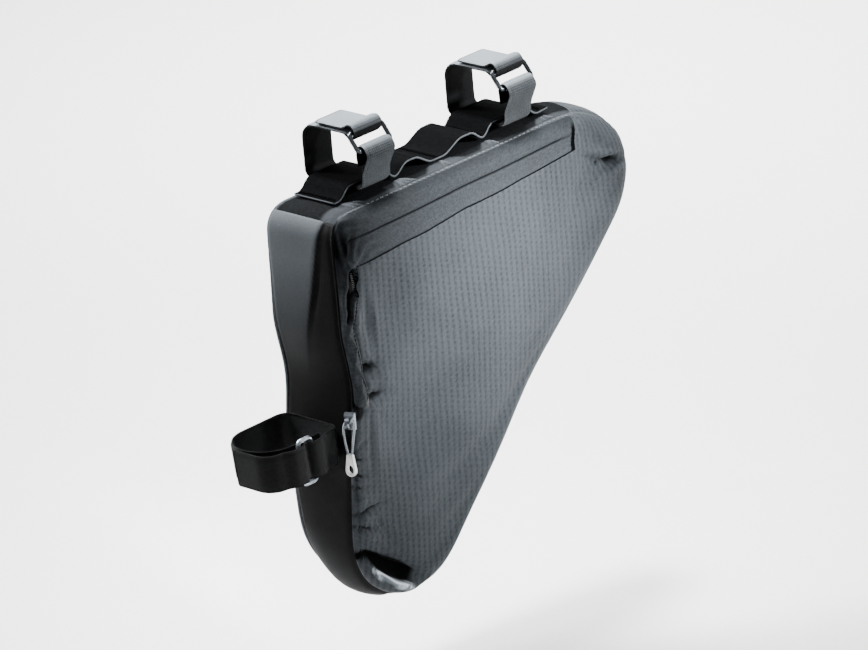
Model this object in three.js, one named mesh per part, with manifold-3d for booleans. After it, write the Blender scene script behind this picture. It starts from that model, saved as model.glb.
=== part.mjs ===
// Bicycle frame bag, in mm. X runs forward along the top tube, Z is up and -Y is the bag's right side.
// The origin is inside the top tube, in its middle plane, 14 mm above its underside and midway between the straps.
import * as THREE from "three";
import { mergeVertices } from "three/addons/utils/BufferGeometryUtils.js";
import Module from "manifold-3d";

// Driving sizes.
const TUBE_HALF_Y = 17.5;
const TUBE_HIGH_Z = 10;
const SEAT_TUBE_R = 16.5;
const SEAT_TUBE_X = -126;
const SEAT_LEAN = 0.094;
const REAR_X = -93;
const TOP_Z = -24;
const TOP_LEG = 287;
const REAR_LEG = 276;
const WALL = 1.5;
const GAP = 0.3;
const FACE_Y = 32.5;
const FACE_TRIM = 4;
const STRAP_WIDE = 20.5;
const STRAP_THICK = 1.8;
const STRAP_X = 53.5;
const STRAP_Z = -17.2;
const SEAT_Z = -145;
const BAR_R = 1.2;
const TURN_R = 2.7;
const TAPE_HALF_Y = 14;
const TAPE_THICK = 1.4;
const FLAP_GAP = 0.45;
const FLAP_THICK = 1.2;
const FLAP_REAR_Z = -126;
const FLAP_FRONT_X = 88;
const FLAP_FRONT_SLANT = 0.12;
const FLAP_SPARE = 34;
const ZIP_TAIL = 7;
const CORD_R = 0.6;
const PULLER_LONG = 12;
const PULLER_WIDE = 6.4;
const PULLER_THICK = 2.2;
const PULLER_TOP_HALF = 1.9;
const PULLER_HOLE_R = 1.3;

// The bag's three corners before rounding, in the order front, bottom, rear top: fillet radius and steps round it.
const CORNERS = [
  { x: REAR_X + TOP_LEG, z: TOP_Z, fillet: 38, steps: 12 },
  { x: REAR_X, z: TOP_Z - REAR_LEG, fillet: 44, steps: 12 },
  { x: REAR_X, z: TOP_Z, fillet: 12, steps: 6 },
];
// Steps along the straight side that follows each corner.
const SIDE_STEPS = [13, 16, 17];

// Section of the bag at each corner and side: edge rounding, half thickness at the right seam,
// how much less it is at the left seam, and the gusset's crown.
const SECTIONS = {
  front: { round: 12, half: 26, trim: 9, crown: 1.5 },
  slant: { round: 14, half: 28, trim: 5, crown: 3 },
  bottom: { round: 10, half: 26, trim: 5, crown: 3 },
  rear: { round: 4, half: 28.5, trim: 4, crown: 1 },
  corner: { round: 4.5, half: 27, trim: 4, crown: 1 },
  top: { round: 7, half: 27, trim: 5, crown: 1.5 },
};

// Dents and folds of the side panels: middle, direction in degrees, half length, half width, depth inward.
const FOLDS = [
  { x: 116, z: -60, turn: 12, long: 16, wide: 3.5, deep: 2.6 },
  { x: 108, z: -42, turn: -50, long: 12, wide: 4, deep: 1.6 },
  { x: 112, z: -82, turn: 30, long: 20, wide: 7, deep: -1.2 },
  { x: -60, z: -226, turn: -28, long: 20, wide: 4, deep: 3.2 },
  { x: -72, z: -196, turn: -62, long: 26, wide: 6, deep: 1.6 },
  { x: -80, z: -148, turn: 75, long: 18, wide: 6, deep: 1.8 },
  { x: -78, z: -112, turn: -20, long: 14, wide: 5, deep: 1.5 },
  { x: -80, z: -84, turn: 8, long: 14, wide: 5, deep: 1.2 },
  { x: 58, z: -142, turn: 42, long: 40, wide: 9, deep: 1.5 },
  { x: -8, z: -196, turn: 60, long: 30, wide: 9, deep: 1.4 },
  { x: 20, z: -72, turn: 4, long: 70, wide: 14, deep: -1.2 },
];

// How far the outline draws in beside the rear seam and the slanting side: middle, reach and depth.
const DRAWN_IN = [
  { x: -93, z: -118, reach: 22, deep: 4 },
  { x: -93, z: -86, reach: 12, deep: -1 },
  { x: 50, z: -160, reach: 34, deep: 2.5 },
  { x: 112, z: -35, reach: 20, deep: 4 },
];

// Width of the flap against the distance along it from its rear end.
const FLAP_WIDTHS = [
  { along: 0, wide: 7.5 },
  { along: 68, wide: 9 },
  { along: 98, wide: 17 },
  { along: 116, wide: 26 },
  { along: 245, wide: 20 },
  { along: 330, wide: 16 },
];

// Height of the top tape's middle along X: sewn down at the low places, raised over the straps and slots.
const TAPE_WAVE = [
  { x: -78, z: -21.4 },
  { x: -73, z: -21.4 },
  { x: -67.5, z: -15.3 },
  { x: -39.5, z: -15.3 },
  { x: -34.5, z: -21.2 },
  { x: -31.5, z: -21.2 },
  { x: -25, z: -15.8 },
  { x: -16, z: -15.8 },
  { x: -7, z: -21.4 },
  { x: 5, z: -21.4 },
  { x: 16, z: -15.8 },
  { x: 26, z: -15.8 },
  { x: 32.5, z: -21.2 },
  { x: 35, z: -21.2 },
  { x: 39.5, z: -15.3 },
  { x: 67.5, z: -15.3 },
  { x: 74, z: -20.9 },
  { x: 84, z: -20.2 },
];
const TAPE_STEP = 2.5;

// A top ring leans on the tube's upper right edge: its lower and upper bar, across the bag.
const RING_LOW = new THREE.Vector2(-22.2, 3.6);
const RING_HIGH = new THREE.Vector2(-15.6, 12.3);
const RING_MID = RING_LOW.clone().lerp(RING_HIGH, 0.5);
const RING_REACH = RING_LOW.distanceTo(RING_HIGH) / 2;
const ringUp = RING_HIGH.clone().sub(RING_LOW).normalize();
const ringOut = new THREE.Vector2(-ringUp.y, ringUp.x);

// A corner of a strap's middle line beside a ring's bar.
function beside(bar, up, out, fillet) {
  const point = bar.clone().addScaledVector(ringUp, up).addScaledVector(ringOut, out);
  return { a: point.x, b: point.y, fillet };
}

// Middle line of a top strap across the bag, from the sewn tab round the tube and back through the ring.
const STRAP_FAR_Y = TUBE_HALF_Y + 1.5;
const STRAP_TOP_Z = TUBE_HIGH_Z + 1.4;
const TOP_STRAP = [
  { a: -18.9, b: -5, fillet: 0 },
  beside(RING_LOW, TURN_R, -TURN_R, TURN_R),
  beside(RING_LOW, TURN_R, TURN_R, TURN_R),
  { a: -26.4, b: 1.5, fillet: 4 },
  { a: -21.3, b: -9, fillet: 8 },
  { a: -20.5, b: STRAP_Z, fillet: 4.5 },
  { a: STRAP_FAR_Y, b: STRAP_Z, fillet: 4 },
  { a: STRAP_FAR_Y, b: STRAP_TOP_Z, fillet: 8 },
  { a: -10.5, b: STRAP_TOP_Z, fillet: 3 },
  beside(RING_HIGH, -TURN_R, -TURN_R, TURN_R),
  beside(RING_HIGH, -TURN_R, TURN_R, TURN_R),
  { a: -15.3, b: 17, fillet: 2.5 },
  { a: -9.5, b: STRAP_TOP_Z + 2.4, fillet: 4 },
  { a: 9, b: STRAP_TOP_Z + 2.4, fillet: 0 },
];

// Middle line of the seat strap seen from above, from the sewn tab round the seat tube and back through the ring.
const SEAT_RING_Y = -20.4;
const SEAT_RING_FRONT_X = -115.5;
const SEAT_RING_REAR_X = -124.5;
const SEAT_FRONT_X = REAR_X - SECTIONS.rear.crown - GAP - STRAP_THICK / 2 - 0.4;
const SEAT_TURN = SEAT_TUBE_R + 1.4;
const SEAT_OUTER = SEAT_TURN + 2.2;
const SEAT_STRAP = [
  { a: -107, b: SEAT_RING_Y + TURN_R, fillet: 0 },
  { a: SEAT_RING_FRONT_X - TURN_R, b: SEAT_RING_Y + TURN_R, fillet: TURN_R },
  { a: SEAT_RING_FRONT_X - TURN_R, b: SEAT_RING_Y - TURN_R, fillet: TURN_R },
  { a: -111, b: SEAT_RING_Y - TURN_R, fillet: 5 },
  { a: -105, b: -20, fillet: 5 },
  { a: SEAT_FRONT_X, b: -20, fillet: 5 },
  { a: SEAT_FRONT_X, b: SEAT_TURN, fillet: 6 },
  { a: SEAT_TUBE_X - SEAT_TURN, b: SEAT_TURN, fillet: SEAT_TURN },
  { a: SEAT_TUBE_X - SEAT_TURN, b: SEAT_RING_Y + TURN_R, fillet: SEAT_TURN - 0.3 },
  { a: SEAT_RING_REAR_X + TURN_R, b: SEAT_RING_Y + TURN_R, fillet: TURN_R },
  { a: SEAT_RING_REAR_X + TURN_R, b: SEAT_RING_Y - TURN_R, fillet: TURN_R },
  { a: SEAT_TUBE_X - 5, b: SEAT_RING_Y - TURN_R, fillet: 5 },
  { a: SEAT_TUBE_X - 10, b: -SEAT_OUTER, fillet: 5 },
  { a: SEAT_TUBE_X - SEAT_OUTER, b: -SEAT_OUTER, fillet: SEAT_OUTER - 11 },
  { a: SEAT_TUBE_X - SEAT_OUTER, b: 4, fillet: 0 },
];

const wasm = await Module();
wasm.setup();

const COLOURS = {
  ripstop: { colour: 0x55585b, roughness: 0.8, metalness: 0 },
  gusset_cloth: { colour: 0x17181a, roughness: 0.6, metalness: 0 },
  flap_cloth: { colour: 0x4a4d50, roughness: 0.85, metalness: 0 },
  tape_cloth: { colour: 0x3a3c3f, roughness: 0.85, metalness: 0 },
  zip_cloth: { colour: 0x101113, roughness: 0.7, metalness: 0 },
  hook_webbing: { colour: 0x4b4e52, roughness: 0.95, metalness: 0 },
  seat_webbing: { colour: 0x141517, roughness: 0.8, metalness: 0 },
  ring_metal: { colour: 0x3c3e42, roughness: 0.3, metalness: 0.9 },
  slider_metal: { colour: 0x222326, roughness: 0.4, metalness: 0.8 },
  pull_cord: { colour: 0x8a8d90, roughness: 0.8, metalness: 0 },
  puller_plastic: { colour: 0xe8e8e6, roughness: 0.5, metalness: 0 },
};

const materials = {};
for (const [name, look] of Object.entries(COLOURS)) {
  materials[name] = new THREE.MeshStandardMaterial({
    color: look.colour,
    roughness: look.roughness,
    metalness: look.metalness,
  });
  materials[name].name = name;
}

// Value of a table's column at a place along it, straight between the rows.
function along(rows, key, column, at) {
  if (at <= rows[0][key]) return rows[0][column];
  for (let i = 1; i < rows.length; i += 1) {
    if (at <= rows[i][key]) {
      const share = (at - rows[i - 1][key]) / (rows[i][key] - rows[i - 1][key]);
      return THREE.MathUtils.lerp(rows[i - 1][column], rows[i][column], share);
    }
  }
  return rows[rows.length - 1][column];
}

// Points round a fillet at b between the lines from a and to c.
function filletPoints(a, b, c, radius, steps) {
  const back = new THREE.Vector2().subVectors(a, b).normalize();
  const on = new THREE.Vector2().subVectors(c, b).normalize();
  const half = Math.acos(THREE.MathUtils.clamp(back.dot(on), -1, 1)) / 2;
  const reach = radius / Math.tan(half);
  const start = b.clone().addScaledVector(back, reach);
  const centre = b.clone().add(back.clone().add(on).normalize().multiplyScalar(radius / Math.sin(half)));
  const sweep = Math.PI - 2 * half;
  const sign = back.cross(on) > 0 ? -1 : 1;
  const points = [];
  for (let i = 0; i <= steps; i += 1) {
    points.push(start.clone().rotateAround(centre, (sign * sweep * i) / steps));
  }
  return points;
}

// One closed geometry from four-sided faces, facing out.
function closedGeometry(quads) {
  const positions = [];
  for (const [a, b, c, d] of quads) {
    for (const p of [a, b, c, a, c, d]) positions.push(p.x, p.y, p.z);
  }
  const loose = new THREE.BufferGeometry();
  loose.setAttribute("position", new THREE.Float32BufferAttribute(positions, 3));
  const welded = mergeVertices(loose, 1e-4);
  const index = welded.index.array;
  const place = welded.attributes.position;
  const kept = [];
  let volume = 0;
  const p = [new THREE.Vector3(), new THREE.Vector3(), new THREE.Vector3()];
  for (let i = 0; i < index.length; i += 3) {
    const [a, b, c] = index.slice(i, i + 3);
    if (a === b || b === c || c === a) continue;
    kept.push(a, b, c);
    [a, b, c].forEach((at, k) => p[k].fromBufferAttribute(place, at));
    volume += p[0].dot(p[1].clone().cross(p[2]));
  }
  if (volume < 0) kept.reverse();
  welded.setIndex(kept);
  return welded;
}

// Closed solid between two grids of points; with loop the rows close on themselves.
function sheet(outer, inner, loop = false) {
  const quads = [];
  const rows = outer.length;
  const last = outer[0].length - 1;
  const pairs = [];
  for (let i = 0; i + 1 < rows; i += 1) pairs.push([i, i + 1]);
  if (loop) pairs.push([rows - 1, 0]);
  for (const [i, k] of pairs) {
    for (let j = 0; j < last; j += 1) {
      quads.push([outer[i][j], outer[k][j], outer[k][j + 1], outer[i][j + 1]]);
      quads.push([inner[i][j], inner[i][j + 1], inner[k][j + 1], inner[k][j]]);
    }
    quads.push([outer[k][0], outer[i][0], inner[i][0], inner[k][0]]);
    quads.push([outer[i][last], outer[k][last], inner[k][last], inner[i][last]]);
  }
  if (!loop) {
    for (let j = 0; j < last; j += 1) {
      quads.push([outer[0][j], outer[0][j + 1], inner[0][j + 1], inner[0][j]]);
      quads.push([outer[rows - 1][j + 1], outer[rows - 1][j], inner[rows - 1][j], inner[rows - 1][j + 1]]);
    }
  }
  return closedGeometry(quads);
}

function toManifold(geometry) {
  const bare = geometry.clone();
  bare.deleteAttribute("normal");
  bare.deleteAttribute("uv");
  const whole = mergeVertices(bare, 1e-4);
  return new wasm.Manifold(
    new wasm.Mesh({
      numProp: 3,
      vertProperties: new Float32Array(whole.attributes.position.array),
      triVerts: new Uint32Array(whole.index.array),
    }),
  );
}

function fromManifold(solid) {
  const mesh = solid.getMesh();
  const geometry = new THREE.BufferGeometry();
  geometry.setAttribute("position", new THREE.Float32BufferAttribute(mesh.vertProperties, 3));
  geometry.setIndex(Array.from(mesh.triVerts));
  return geometry;
}

// The bag's outline in XZ as stations, each with its point and its section.
const inRadius = (TOP_LEG + REAR_LEG - Math.hypot(TOP_LEG, REAR_LEG)) / 2;
const middle = new THREE.Vector2(REAR_X + inRadius, TOP_Z - inRadius);
const stations = [];
const sideOrder = [
  ["front", "slant"],
  ["bottom", "rear"],
  ["corner", "top"],
];

function drawnIn(point) {
  let inset = 0;
  for (const row of DRAWN_IN) {
    const away = Math.hypot(point.x - row.x, point.y - row.z) / row.reach;
    inset += row.deep * Math.exp(-away * away);
  }
  return point.clone().lerp(middle, inset / inRadius);
}

CORNERS.forEach((corner, i) => {
  const at = (row) => new THREE.Vector2(row.x, row.z);
  const previous = CORNERS[(i + 2) % 3];
  const next = CORNERS[(i + 1) % 3];
  const after = CORNERS[(i + 2) % 3];
  const bend = filletPoints(at(previous), at(corner), at(next), corner.fillet, corner.steps);
  const nextBend = filletPoints(at(corner), at(next), at(after), next.fillet, next.steps);
  bend.forEach((point) => stations.push({ point: drawnIn(point), section: SECTIONS[sideOrder[i][0]] }));
  for (let k = 1; k < SIDE_STEPS[i]; k += 1) {
    const point = bend[bend.length - 1].clone().lerp(nextBend[0], k / SIDE_STEPS[i]);
    stations.push({ point: drawnIn(point), section: SECTIONS[sideOrder[i][1]] });
  }
});
const COUNT = stations.length;

// Sections blend into their neighbours over a few stations.
const BLEND = 4;
function blended(i, column) {
  let sum = 0;
  for (let k = -BLEND; k <= BLEND; k += 1) {
    sum += stations[(i + k + COUNT) % COUNT].section[column];
  }
  return sum / (2 * BLEND + 1);
}
stations.forEach((station, i) => {
  station.round = blended(i, "round");
  station.half = blended(i, "half");
  station.trim = blended(i, "trim");
  station.crown = blended(i, "crown");
});

// The outline between stations, straight from one to the next.
function outline(u) {
  const low = Math.floor(u);
  const a = stations[((low % COUNT) + COUNT) % COUNT];
  const b = stations[(((low + 1) % COUNT) + COUNT) % COUNT];
  const share = u - low;
  return {
    point: a.point.clone().lerp(b.point, share),
    round: THREE.MathUtils.lerp(a.round, b.round, share),
    half: THREE.MathUtils.lerp(a.half, b.half, share),
    trim: THREE.MathUtils.lerp(a.trim, b.trim, share),
    crown: THREE.MathUtils.lerp(a.crown, b.crown, share),
  };
}

function foldDepth(x, z) {
  let depth = 0;
  for (const fold of FOLDS) {
    const turn = THREE.MathUtils.degToRad(fold.turn);
    const dx = x - fold.x;
    const dz = z - fold.z;
    const far = (dx * Math.cos(turn) + dz * Math.sin(turn)) / fold.long;
    const across = (dz * Math.cos(turn) - dx * Math.sin(turn)) / fold.wide;
    depth += fold.deep * Math.exp(-far * far - across * across);
  }
  return depth;
}

// The bottom corner hangs lower on the right side than on the left one.
const DROOP = { x: -52, z: -232, reach: 42, deep: 4.5, half: 26 };
function drooped(point) {
  const away = Math.hypot(point.x - DROOP.x, point.z - DROOP.z) / DROOP.reach;
  point.z += (DROOP.deep * Math.exp(-away * away) * point.y) / DROOP.half;
  return point;
}

// A point of a side panel: phase 0 to 1 rounds the edge, 1 to 2 goes to the panel's middle.
function panelPoint(u, phase, offset, side) {
  const at = outline(u);
  const round = Math.max(at.round + offset, 0.5);
  const half = at.half + offset - (side > 0 ? at.trim : 0);
  const angle = (Math.min(phase, 1) * Math.PI) / 2;
  const share = Math.max(phase - 1, 0);
  const rise = 1 - (1 - share) ** 2;
  const inset = round * (1 - Math.cos(angle)) + share * (inRadius + offset - round);
  const edge = half - round + round * Math.sin(angle);
  const flat = at.point.clone().lerp(middle, (inset - offset) / inRadius);
  const height = THREE.MathUtils.lerp(edge, FACE_Y + offset - (side > 0 ? FACE_TRIM : 0), rise);
  const fade = Math.sin(angle) ** 2;
  const dent = side < 0 ? foldDepth(flat.x, flat.y) * fade : 0;
  return drooped(new THREE.Vector3(flat.x, side * (height - dent), flat.y));
}

// The phase at which a side panel is the given distance in from the outline.
function phaseAt(u, inset) {
  const { round } = outline(u);
  if (inset < round) return Math.acos(1 - inset / round) / (Math.PI / 2);
  return 1 + (inset - round) / (inRadius - round);
}

// A point of the gusset: share goes from -1 at the right seam to 1 at the left one.
function gussetPoint(u, share, offset) {
  const at = outline(u);
  const out = offset + at.crown * (1 - share * share);
  const flat = at.point.clone().lerp(middle, -out / inRadius);
  const reach = at.half - at.round - GAP - (share > 0 ? at.trim : 0);
  return drooped(new THREE.Vector3(flat.x, share * reach, flat.y));
}

function panel(side, phases) {
  const grid = (offset) => stations.map((_, i) => phases.map((phase) => panelPoint(i, phase, offset, side)));
  return sheet(grid(0), grid(-WALL), true);
}

// Stations from u0 to u1 with the ends where they fall.
function span(u0, u1) {
  const list = [u0];
  for (let i = Math.floor(u0) + 1; i < u1 - 1e-6; i += 1) {
    if (i > u0 + 1e-6) list.push(i);
  }
  list.push(u1);
  return list;
}

function gusset(u0, u1) {
  const shares = [-1, -0.5, 0, 0.5, 1];
  const grid = (offset) => span(u0, u1).map((u) => shares.map((share) => gussetPoint(u, share, offset)));
  return sheet(grid(0), grid(-WALL));
}

// Where the outline's straight rear and top sides reach a height or a place along the bag.
const bottomEnd = CORNERS[0].steps + SIDE_STEPS[0] + CORNERS[1].steps;
const rearEnd = bottomEnd + SIDE_STEPS[1];
const cornerEnd = rearEnd + CORNERS[2].steps;

function stationWhere(first, reached) {
  let u = first;
  while (!reached(outline(u).point)) u += 0.02;
  return u;
}
const flapRear = stationWhere(bottomEnd, (p) => p.y > FLAP_REAR_Z);
const flapFront = stationWhere(cornerEnd, (p) => p.x > FLAP_FRONT_X + FLAP_SPARE);
const zipRear = stationWhere(bottomEnd, (p) => p.y > FLAP_REAR_Z - ZIP_TAIL);
const zipFront = stationWhere(cornerEnd, (p) => p.x > FLAP_FRONT_X + ZIP_TAIL);

function lengthTo(u) {
  let sum = 0;
  const list = span(flapRear, Math.max(u, flapRear + 1e-5));
  for (let i = 1; i < list.length; i += 1) {
    sum += outline(list[i]).point.distanceTo(outline(list[i - 1]).point);
  }
  return sum;
}

function flapWidth(u) {
  return along(FLAP_WIDTHS, "along", "wide", lengthTo(u));
}

const FLAP_START = 0.35;
const FLAP_COLUMNS = [0, 0.2, 0.4, 0.7, 1];
function flap() {
  const grid = (offset) =>
    span(flapRear, flapFront).map((u) => {
      const end = phaseAt(u, flapWidth(u));
      return FLAP_COLUMNS.map((share) =>
        panelPoint(u, THREE.MathUtils.lerp(FLAP_START, end, share), offset, -1),
      );
    });
  const whole = toManifold(sheet(grid(FLAP_GAP + FLAP_THICK), grid(FLAP_GAP)));
  const size = 200;
  const beyond = new THREE.BoxGeometry(size, size, size);
  beyond.rotateY(FLAP_FRONT_SLANT);
  beyond.translate(FLAP_FRONT_X + size / 2 - 2, 0, TOP_Z);
  return fromManifold(whole.subtract(toManifold(beyond)));
}

// The zip lies under the flap, this share of its width in from the edge.
const ZIP_MIDDLE = 0.62;
const ZIP_HALF = 2.3;
function zipStrip(u0, u1, half, low, high) {
  const grid = (offset) =>
    span(u0, u1).map((u) => {
      const inset = flapWidth(u) * ZIP_MIDDLE;
      return [-half, 0, half].map((step) => panelPoint(u, phaseAt(u, inset + step), offset, -1));
    });
  return sheet(grid(high), grid(low));
}

// Middle line of a strap as points with their normals.
const TURN_STEP = 0.42;
function bandLine(rows) {
  const corners = rows.map((row) => new THREE.Vector2(row.a, row.b));
  const points = [corners[0]];
  for (let i = 1; i + 1 < rows.length; i += 1) {
    const back = new THREE.Vector2().subVectors(corners[i - 1], corners[i]).angle();
    const on = new THREE.Vector2().subVectors(corners[i + 1], corners[i]).angle();
    const turn = Math.PI - Math.acos(THREE.MathUtils.clamp(Math.cos(back - on), -1, 1));
    const steps = Math.max(2, Math.ceil(turn / TURN_STEP));
    points.push(...filletPoints(corners[i - 1], corners[i], corners[i + 1], rows[i].fillet, steps));
  }
  points.push(corners[corners.length - 1]);
  return points.map((point, i) => {
    const before = points[Math.max(i - 1, 0)];
    const after = points[Math.min(i + 1, points.length - 1)];
    const ahead = new THREE.Vector2().subVectors(after, before).normalize();
    return { point, normal: new THREE.Vector2(-ahead.y, ahead.x) };
  });
}

function strap(rows, place) {
  const line = bandLine(rows);
  const edges = [-STRAP_WIDE / 2, STRAP_WIDE / 2];
  const grid = (offset) =>
    line.map(({ point, normal }) => {
      const moved = point.clone().addScaledVector(normal, offset);
      return edges.map((edge) => place(moved.x, moved.y, edge));
    });
  return sheet(grid(STRAP_THICK / 2), grid(-STRAP_THICK / 2));
}

// A ring of round bar, its straight bars along the strap's width.
const RING_SIDES = 8;
const RING_TURN = 3;
const RING_FILLET = 2.4;
function ring(halfLong, low, high, place) {
  const box = [
    new THREE.Vector2(-halfLong, low),
    new THREE.Vector2(halfLong, low),
    new THREE.Vector2(halfLong, high),
    new THREE.Vector2(-halfLong, high),
  ];
  const line = box.flatMap((corner, i) =>
    filletPoints(box[(i + 3) % 4], corner, box[(i + 1) % 4], RING_FILLET, RING_TURN),
  );
  const quads = [];
  const circle = line.map((point, i) => {
    const before = line[(i + line.length - 1) % line.length];
    const after = line[(i + 1) % line.length];
    const ahead = new THREE.Vector2().subVectors(after, before).normalize();
    return Array.from({ length: RING_SIDES }, (_, k) => {
      const angle = (2 * Math.PI * (k + 0.5)) / RING_SIDES;
      const out = BAR_R * Math.cos(angle);
      return place(point.x - ahead.y * out, point.y + ahead.x * out, BAR_R * Math.sin(angle));
    });
  });
  circle.forEach((loop, i) => {
    const next = circle[(i + 1) % circle.length];
    loop.forEach((point, k) => {
      const up = (k + 1) % RING_SIDES;
      quads.push([point, next[k], next[up], loop[up]]);
    });
  });
  return closedGeometry(quads);
}
const RING_HALF = STRAP_WIDE / 2 + BAR_R + 0.6;

// The seat strap leans with the seat tube, and not where it lies on the gusset.
function lean(x, y, z) {
  const share = THREE.MathUtils.smoothstep(SEAT_FRONT_X - x, 2, 16);
  return new THREE.Vector3(x - SEAT_LEAN * share * z, y, SEAT_Z + z);
}

function topTape() {
  const first = TAPE_WAVE[0].x;
  const last = TAPE_WAVE[TAPE_WAVE.length - 1].x;
  const steps = Math.round((last - first) / TAPE_STEP);
  const line = [];
  for (let i = 0; i <= steps; i += 1) {
    const x = THREE.MathUtils.lerp(first, last, i / steps);
    const near = [-2, -1, 0, 1, 2].map((k) => along(TAPE_WAVE, "x", "z", x + k));
    line.push(new THREE.Vector2(x, near.reduce((sum, z) => sum + z, 0) / near.length));
  }
  const grid = (offset) =>
    line.map((point, i) => {
      const before = line[Math.max(i - 1, 0)];
      const after = line[Math.min(i + 1, steps)];
      const ahead = new THREE.Vector2().subVectors(after, before).normalize();
      const x = point.x - ahead.y * offset;
      const z = point.y + ahead.x * offset;
      return [-TAPE_HALF_Y, 0, TAPE_HALF_Y].map((y) => new THREE.Vector3(x, y, z));
    });
  return sheet(grid(TAPE_THICK / 2), grid(-TAPE_THICK / 2));
}

// The slider, cord and puller hang on the rear edge: out is away from the edge, side is along the loop's width.
const edgeOut = new THREE.Vector3(-1, -0.3, 0).normalize();
const edgeSide = new THREE.Vector3(0.3, -1, 0).normalize();
const SLIDER_PHASE = 0.1;
const SLIDER_DOWN = 6;
const SLIDER_GAP = 0.8;
const SLIDER_LONG = 9;
const SLIDER_WIDE = 5.5;
const SLIDER_THICK = 2.4;
const BAIL_WIDE = 1.8;
const BAIL_OUT = 3.4;
const EYE_R = 1.1;
const sliderU = stationWhere(bottomEnd, (p) => p.y > FLAP_REAR_Z - SLIDER_DOWN);
const sliderAt = panelPoint(sliderU, SLIDER_PHASE, SLIDER_GAP, -1);

function edgePlace(out, side, up) {
  return sliderAt.clone().addScaledVector(edgeOut, out).addScaledVector(edgeSide, side).setZ(sliderAt.z + up);
}

function slab(shape, wide) {
  const geometry = new THREE.ExtrudeGeometry(shape, { depth: wide, bevelEnabled: false, curveSegments: 6 });
  geometry.translate(0, 0, -wide / 2);
  const basis = new THREE.Matrix4().makeBasis(edgeOut, new THREE.Vector3(0, 0, 1), edgeSide.clone().negate());
  geometry.applyMatrix4(basis.setPosition(sliderAt));
  return geometry;
}

function slider() {
  const half = SLIDER_LONG / 2;
  const body = new THREE.Shape();
  body.moveTo(0, -half);
  body.lineTo(SLIDER_THICK - 0.7, -half);
  body.lineTo(SLIDER_THICK, -half + 1.5);
  body.lineTo(SLIDER_THICK, half - 1.5);
  body.lineTo(SLIDER_THICK - 0.7, half);
  body.lineTo(0, half);
  body.closePath();
  const bail = new THREE.Shape();
  const bailHalf = 2.6;
  bail.moveTo(SLIDER_THICK - 0.4, -bailHalf);
  bail.lineTo(SLIDER_THICK + BAIL_OUT - 1.4, -bailHalf);
  bail.quadraticCurveTo(SLIDER_THICK + BAIL_OUT, -bailHalf, SLIDER_THICK + BAIL_OUT, 0);
  bail.quadraticCurveTo(SLIDER_THICK + BAIL_OUT, bailHalf, SLIDER_THICK + BAIL_OUT - 1.4, bailHalf);
  bail.lineTo(SLIDER_THICK - 0.4, bailHalf);
  bail.closePath();
  const eye = new THREE.Path();
  eye.absarc(SLIDER_THICK + BAIL_OUT / 2 - 0.1, 0, EYE_R, 0, 2 * Math.PI, true);
  bail.holes.push(eye);
  const whole = toManifold(slab(body, SLIDER_WIDE)).add(toManifold(slab(bail, BAIL_WIDE)));
  return fromManifold(whole);
}

const eyeOut = SLIDER_THICK + BAIL_OUT / 2 - 0.1;
const PULLER_TOP = -17;
const LOOP_HALF = 2.1;
const CORD_END = 1.1;
const CORD_STEPS = 26;

function pullCord() {
  const rows = [
    { side: -CORD_END, up: PULLER_TOP + GAP, out: 4.4 },
    { side: -LOOP_HALF, up: PULLER_TOP + 7, out: 4.6 },
    { side: -LOOP_HALF - 0.3, up: -3, out: 4.4 },
    { side: -1.4, up: 0, out: eyeOut },
    { side: 1.4, up: 0, out: eyeOut },
    { side: LOOP_HALF + 1.6, up: 3, out: 4.6 },
    { side: LOOP_HALF + 2, up: -2, out: 5 },
    { side: LOOP_HALF + 0.6, up: PULLER_TOP + 7, out: 5 },
    { side: CORD_END, up: PULLER_TOP + GAP, out: 4.4 },
  ];
  const path = new THREE.CatmullRomCurve3(
    rows.map((row) => edgePlace(row.out, row.side, row.up)),
    false,
    "centripetal",
  );
  const round = new THREE.Shape();
  round.absarc(0, 0, CORD_R, 0, 2 * Math.PI);
  return new THREE.ExtrudeGeometry(round, {
    steps: CORD_STEPS,
    extrudePath: path,
    curveSegments: 4,
    bevelEnabled: false,
  });
}

function puller() {
  const drop = new THREE.Shape();
  const half = PULLER_WIDE / 2;
  const shoulder = 0.2;
  drop.moveTo(-PULLER_TOP_HALF, 0);
  drop.lineTo(PULLER_TOP_HALF, 0);
  drop.absarc(0, -PULLER_LONG + half, half, shoulder, -Math.PI - shoulder, true);
  const hole = new THREE.Path();
  hole.absarc(0, -PULLER_LONG + half, PULLER_HOLE_R, 0, 2 * Math.PI);
  drop.holes.push(hole);
  const geometry = new THREE.ExtrudeGeometry(drop, { depth: PULLER_THICK, bevelEnabled: false, curveSegments: 6 });
  geometry.translate(0, 0, -PULLER_THICK / 2);
  const basis = new THREE.Matrix4().makeBasis(edgeSide, new THREE.Vector3(0, 0, 1), edgeOut);
  geometry.applyMatrix4(basis.setPosition(edgePlace(4.4, 0, PULLER_TOP)));
  return geometry;
}

const RIGHT_PHASES = [0, 0.33, 0.66, 1, 1.06, 1.14, 1.25, 1.4, 1.6, 1.8, 2];
const LEFT_PHASES = [0, 0.5, 1, 1.2, 1.5, 2];
const SLOT_CLEAR = 1.2;
const slot = toManifold(zipStrip(zipRear, zipFront, ZIP_HALF, -WALL - SLOT_CLEAR, SLOT_CLEAR));
const rightPanel = fromManifold(toManifold(panel(-1, RIGHT_PHASES)).subtract(slot));
const ZIP_TRIM = 0.04;
const zip = zipStrip(zipRear + ZIP_TRIM, zipFront - ZIP_TRIM, ZIP_HALF - GAP, -WALL + 0.1, -0.1);

// The gusset's joints: in the bottom corner, the rear top corner and the front corner.
const bottomJoint = bottomEnd - 5;
const cornerJoint = rearEnd + 3;
const frontJoint = COUNT + 2;
const JOINT = 0.04;

const group = new THREE.Group();
group.name = "frame_bag";

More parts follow.
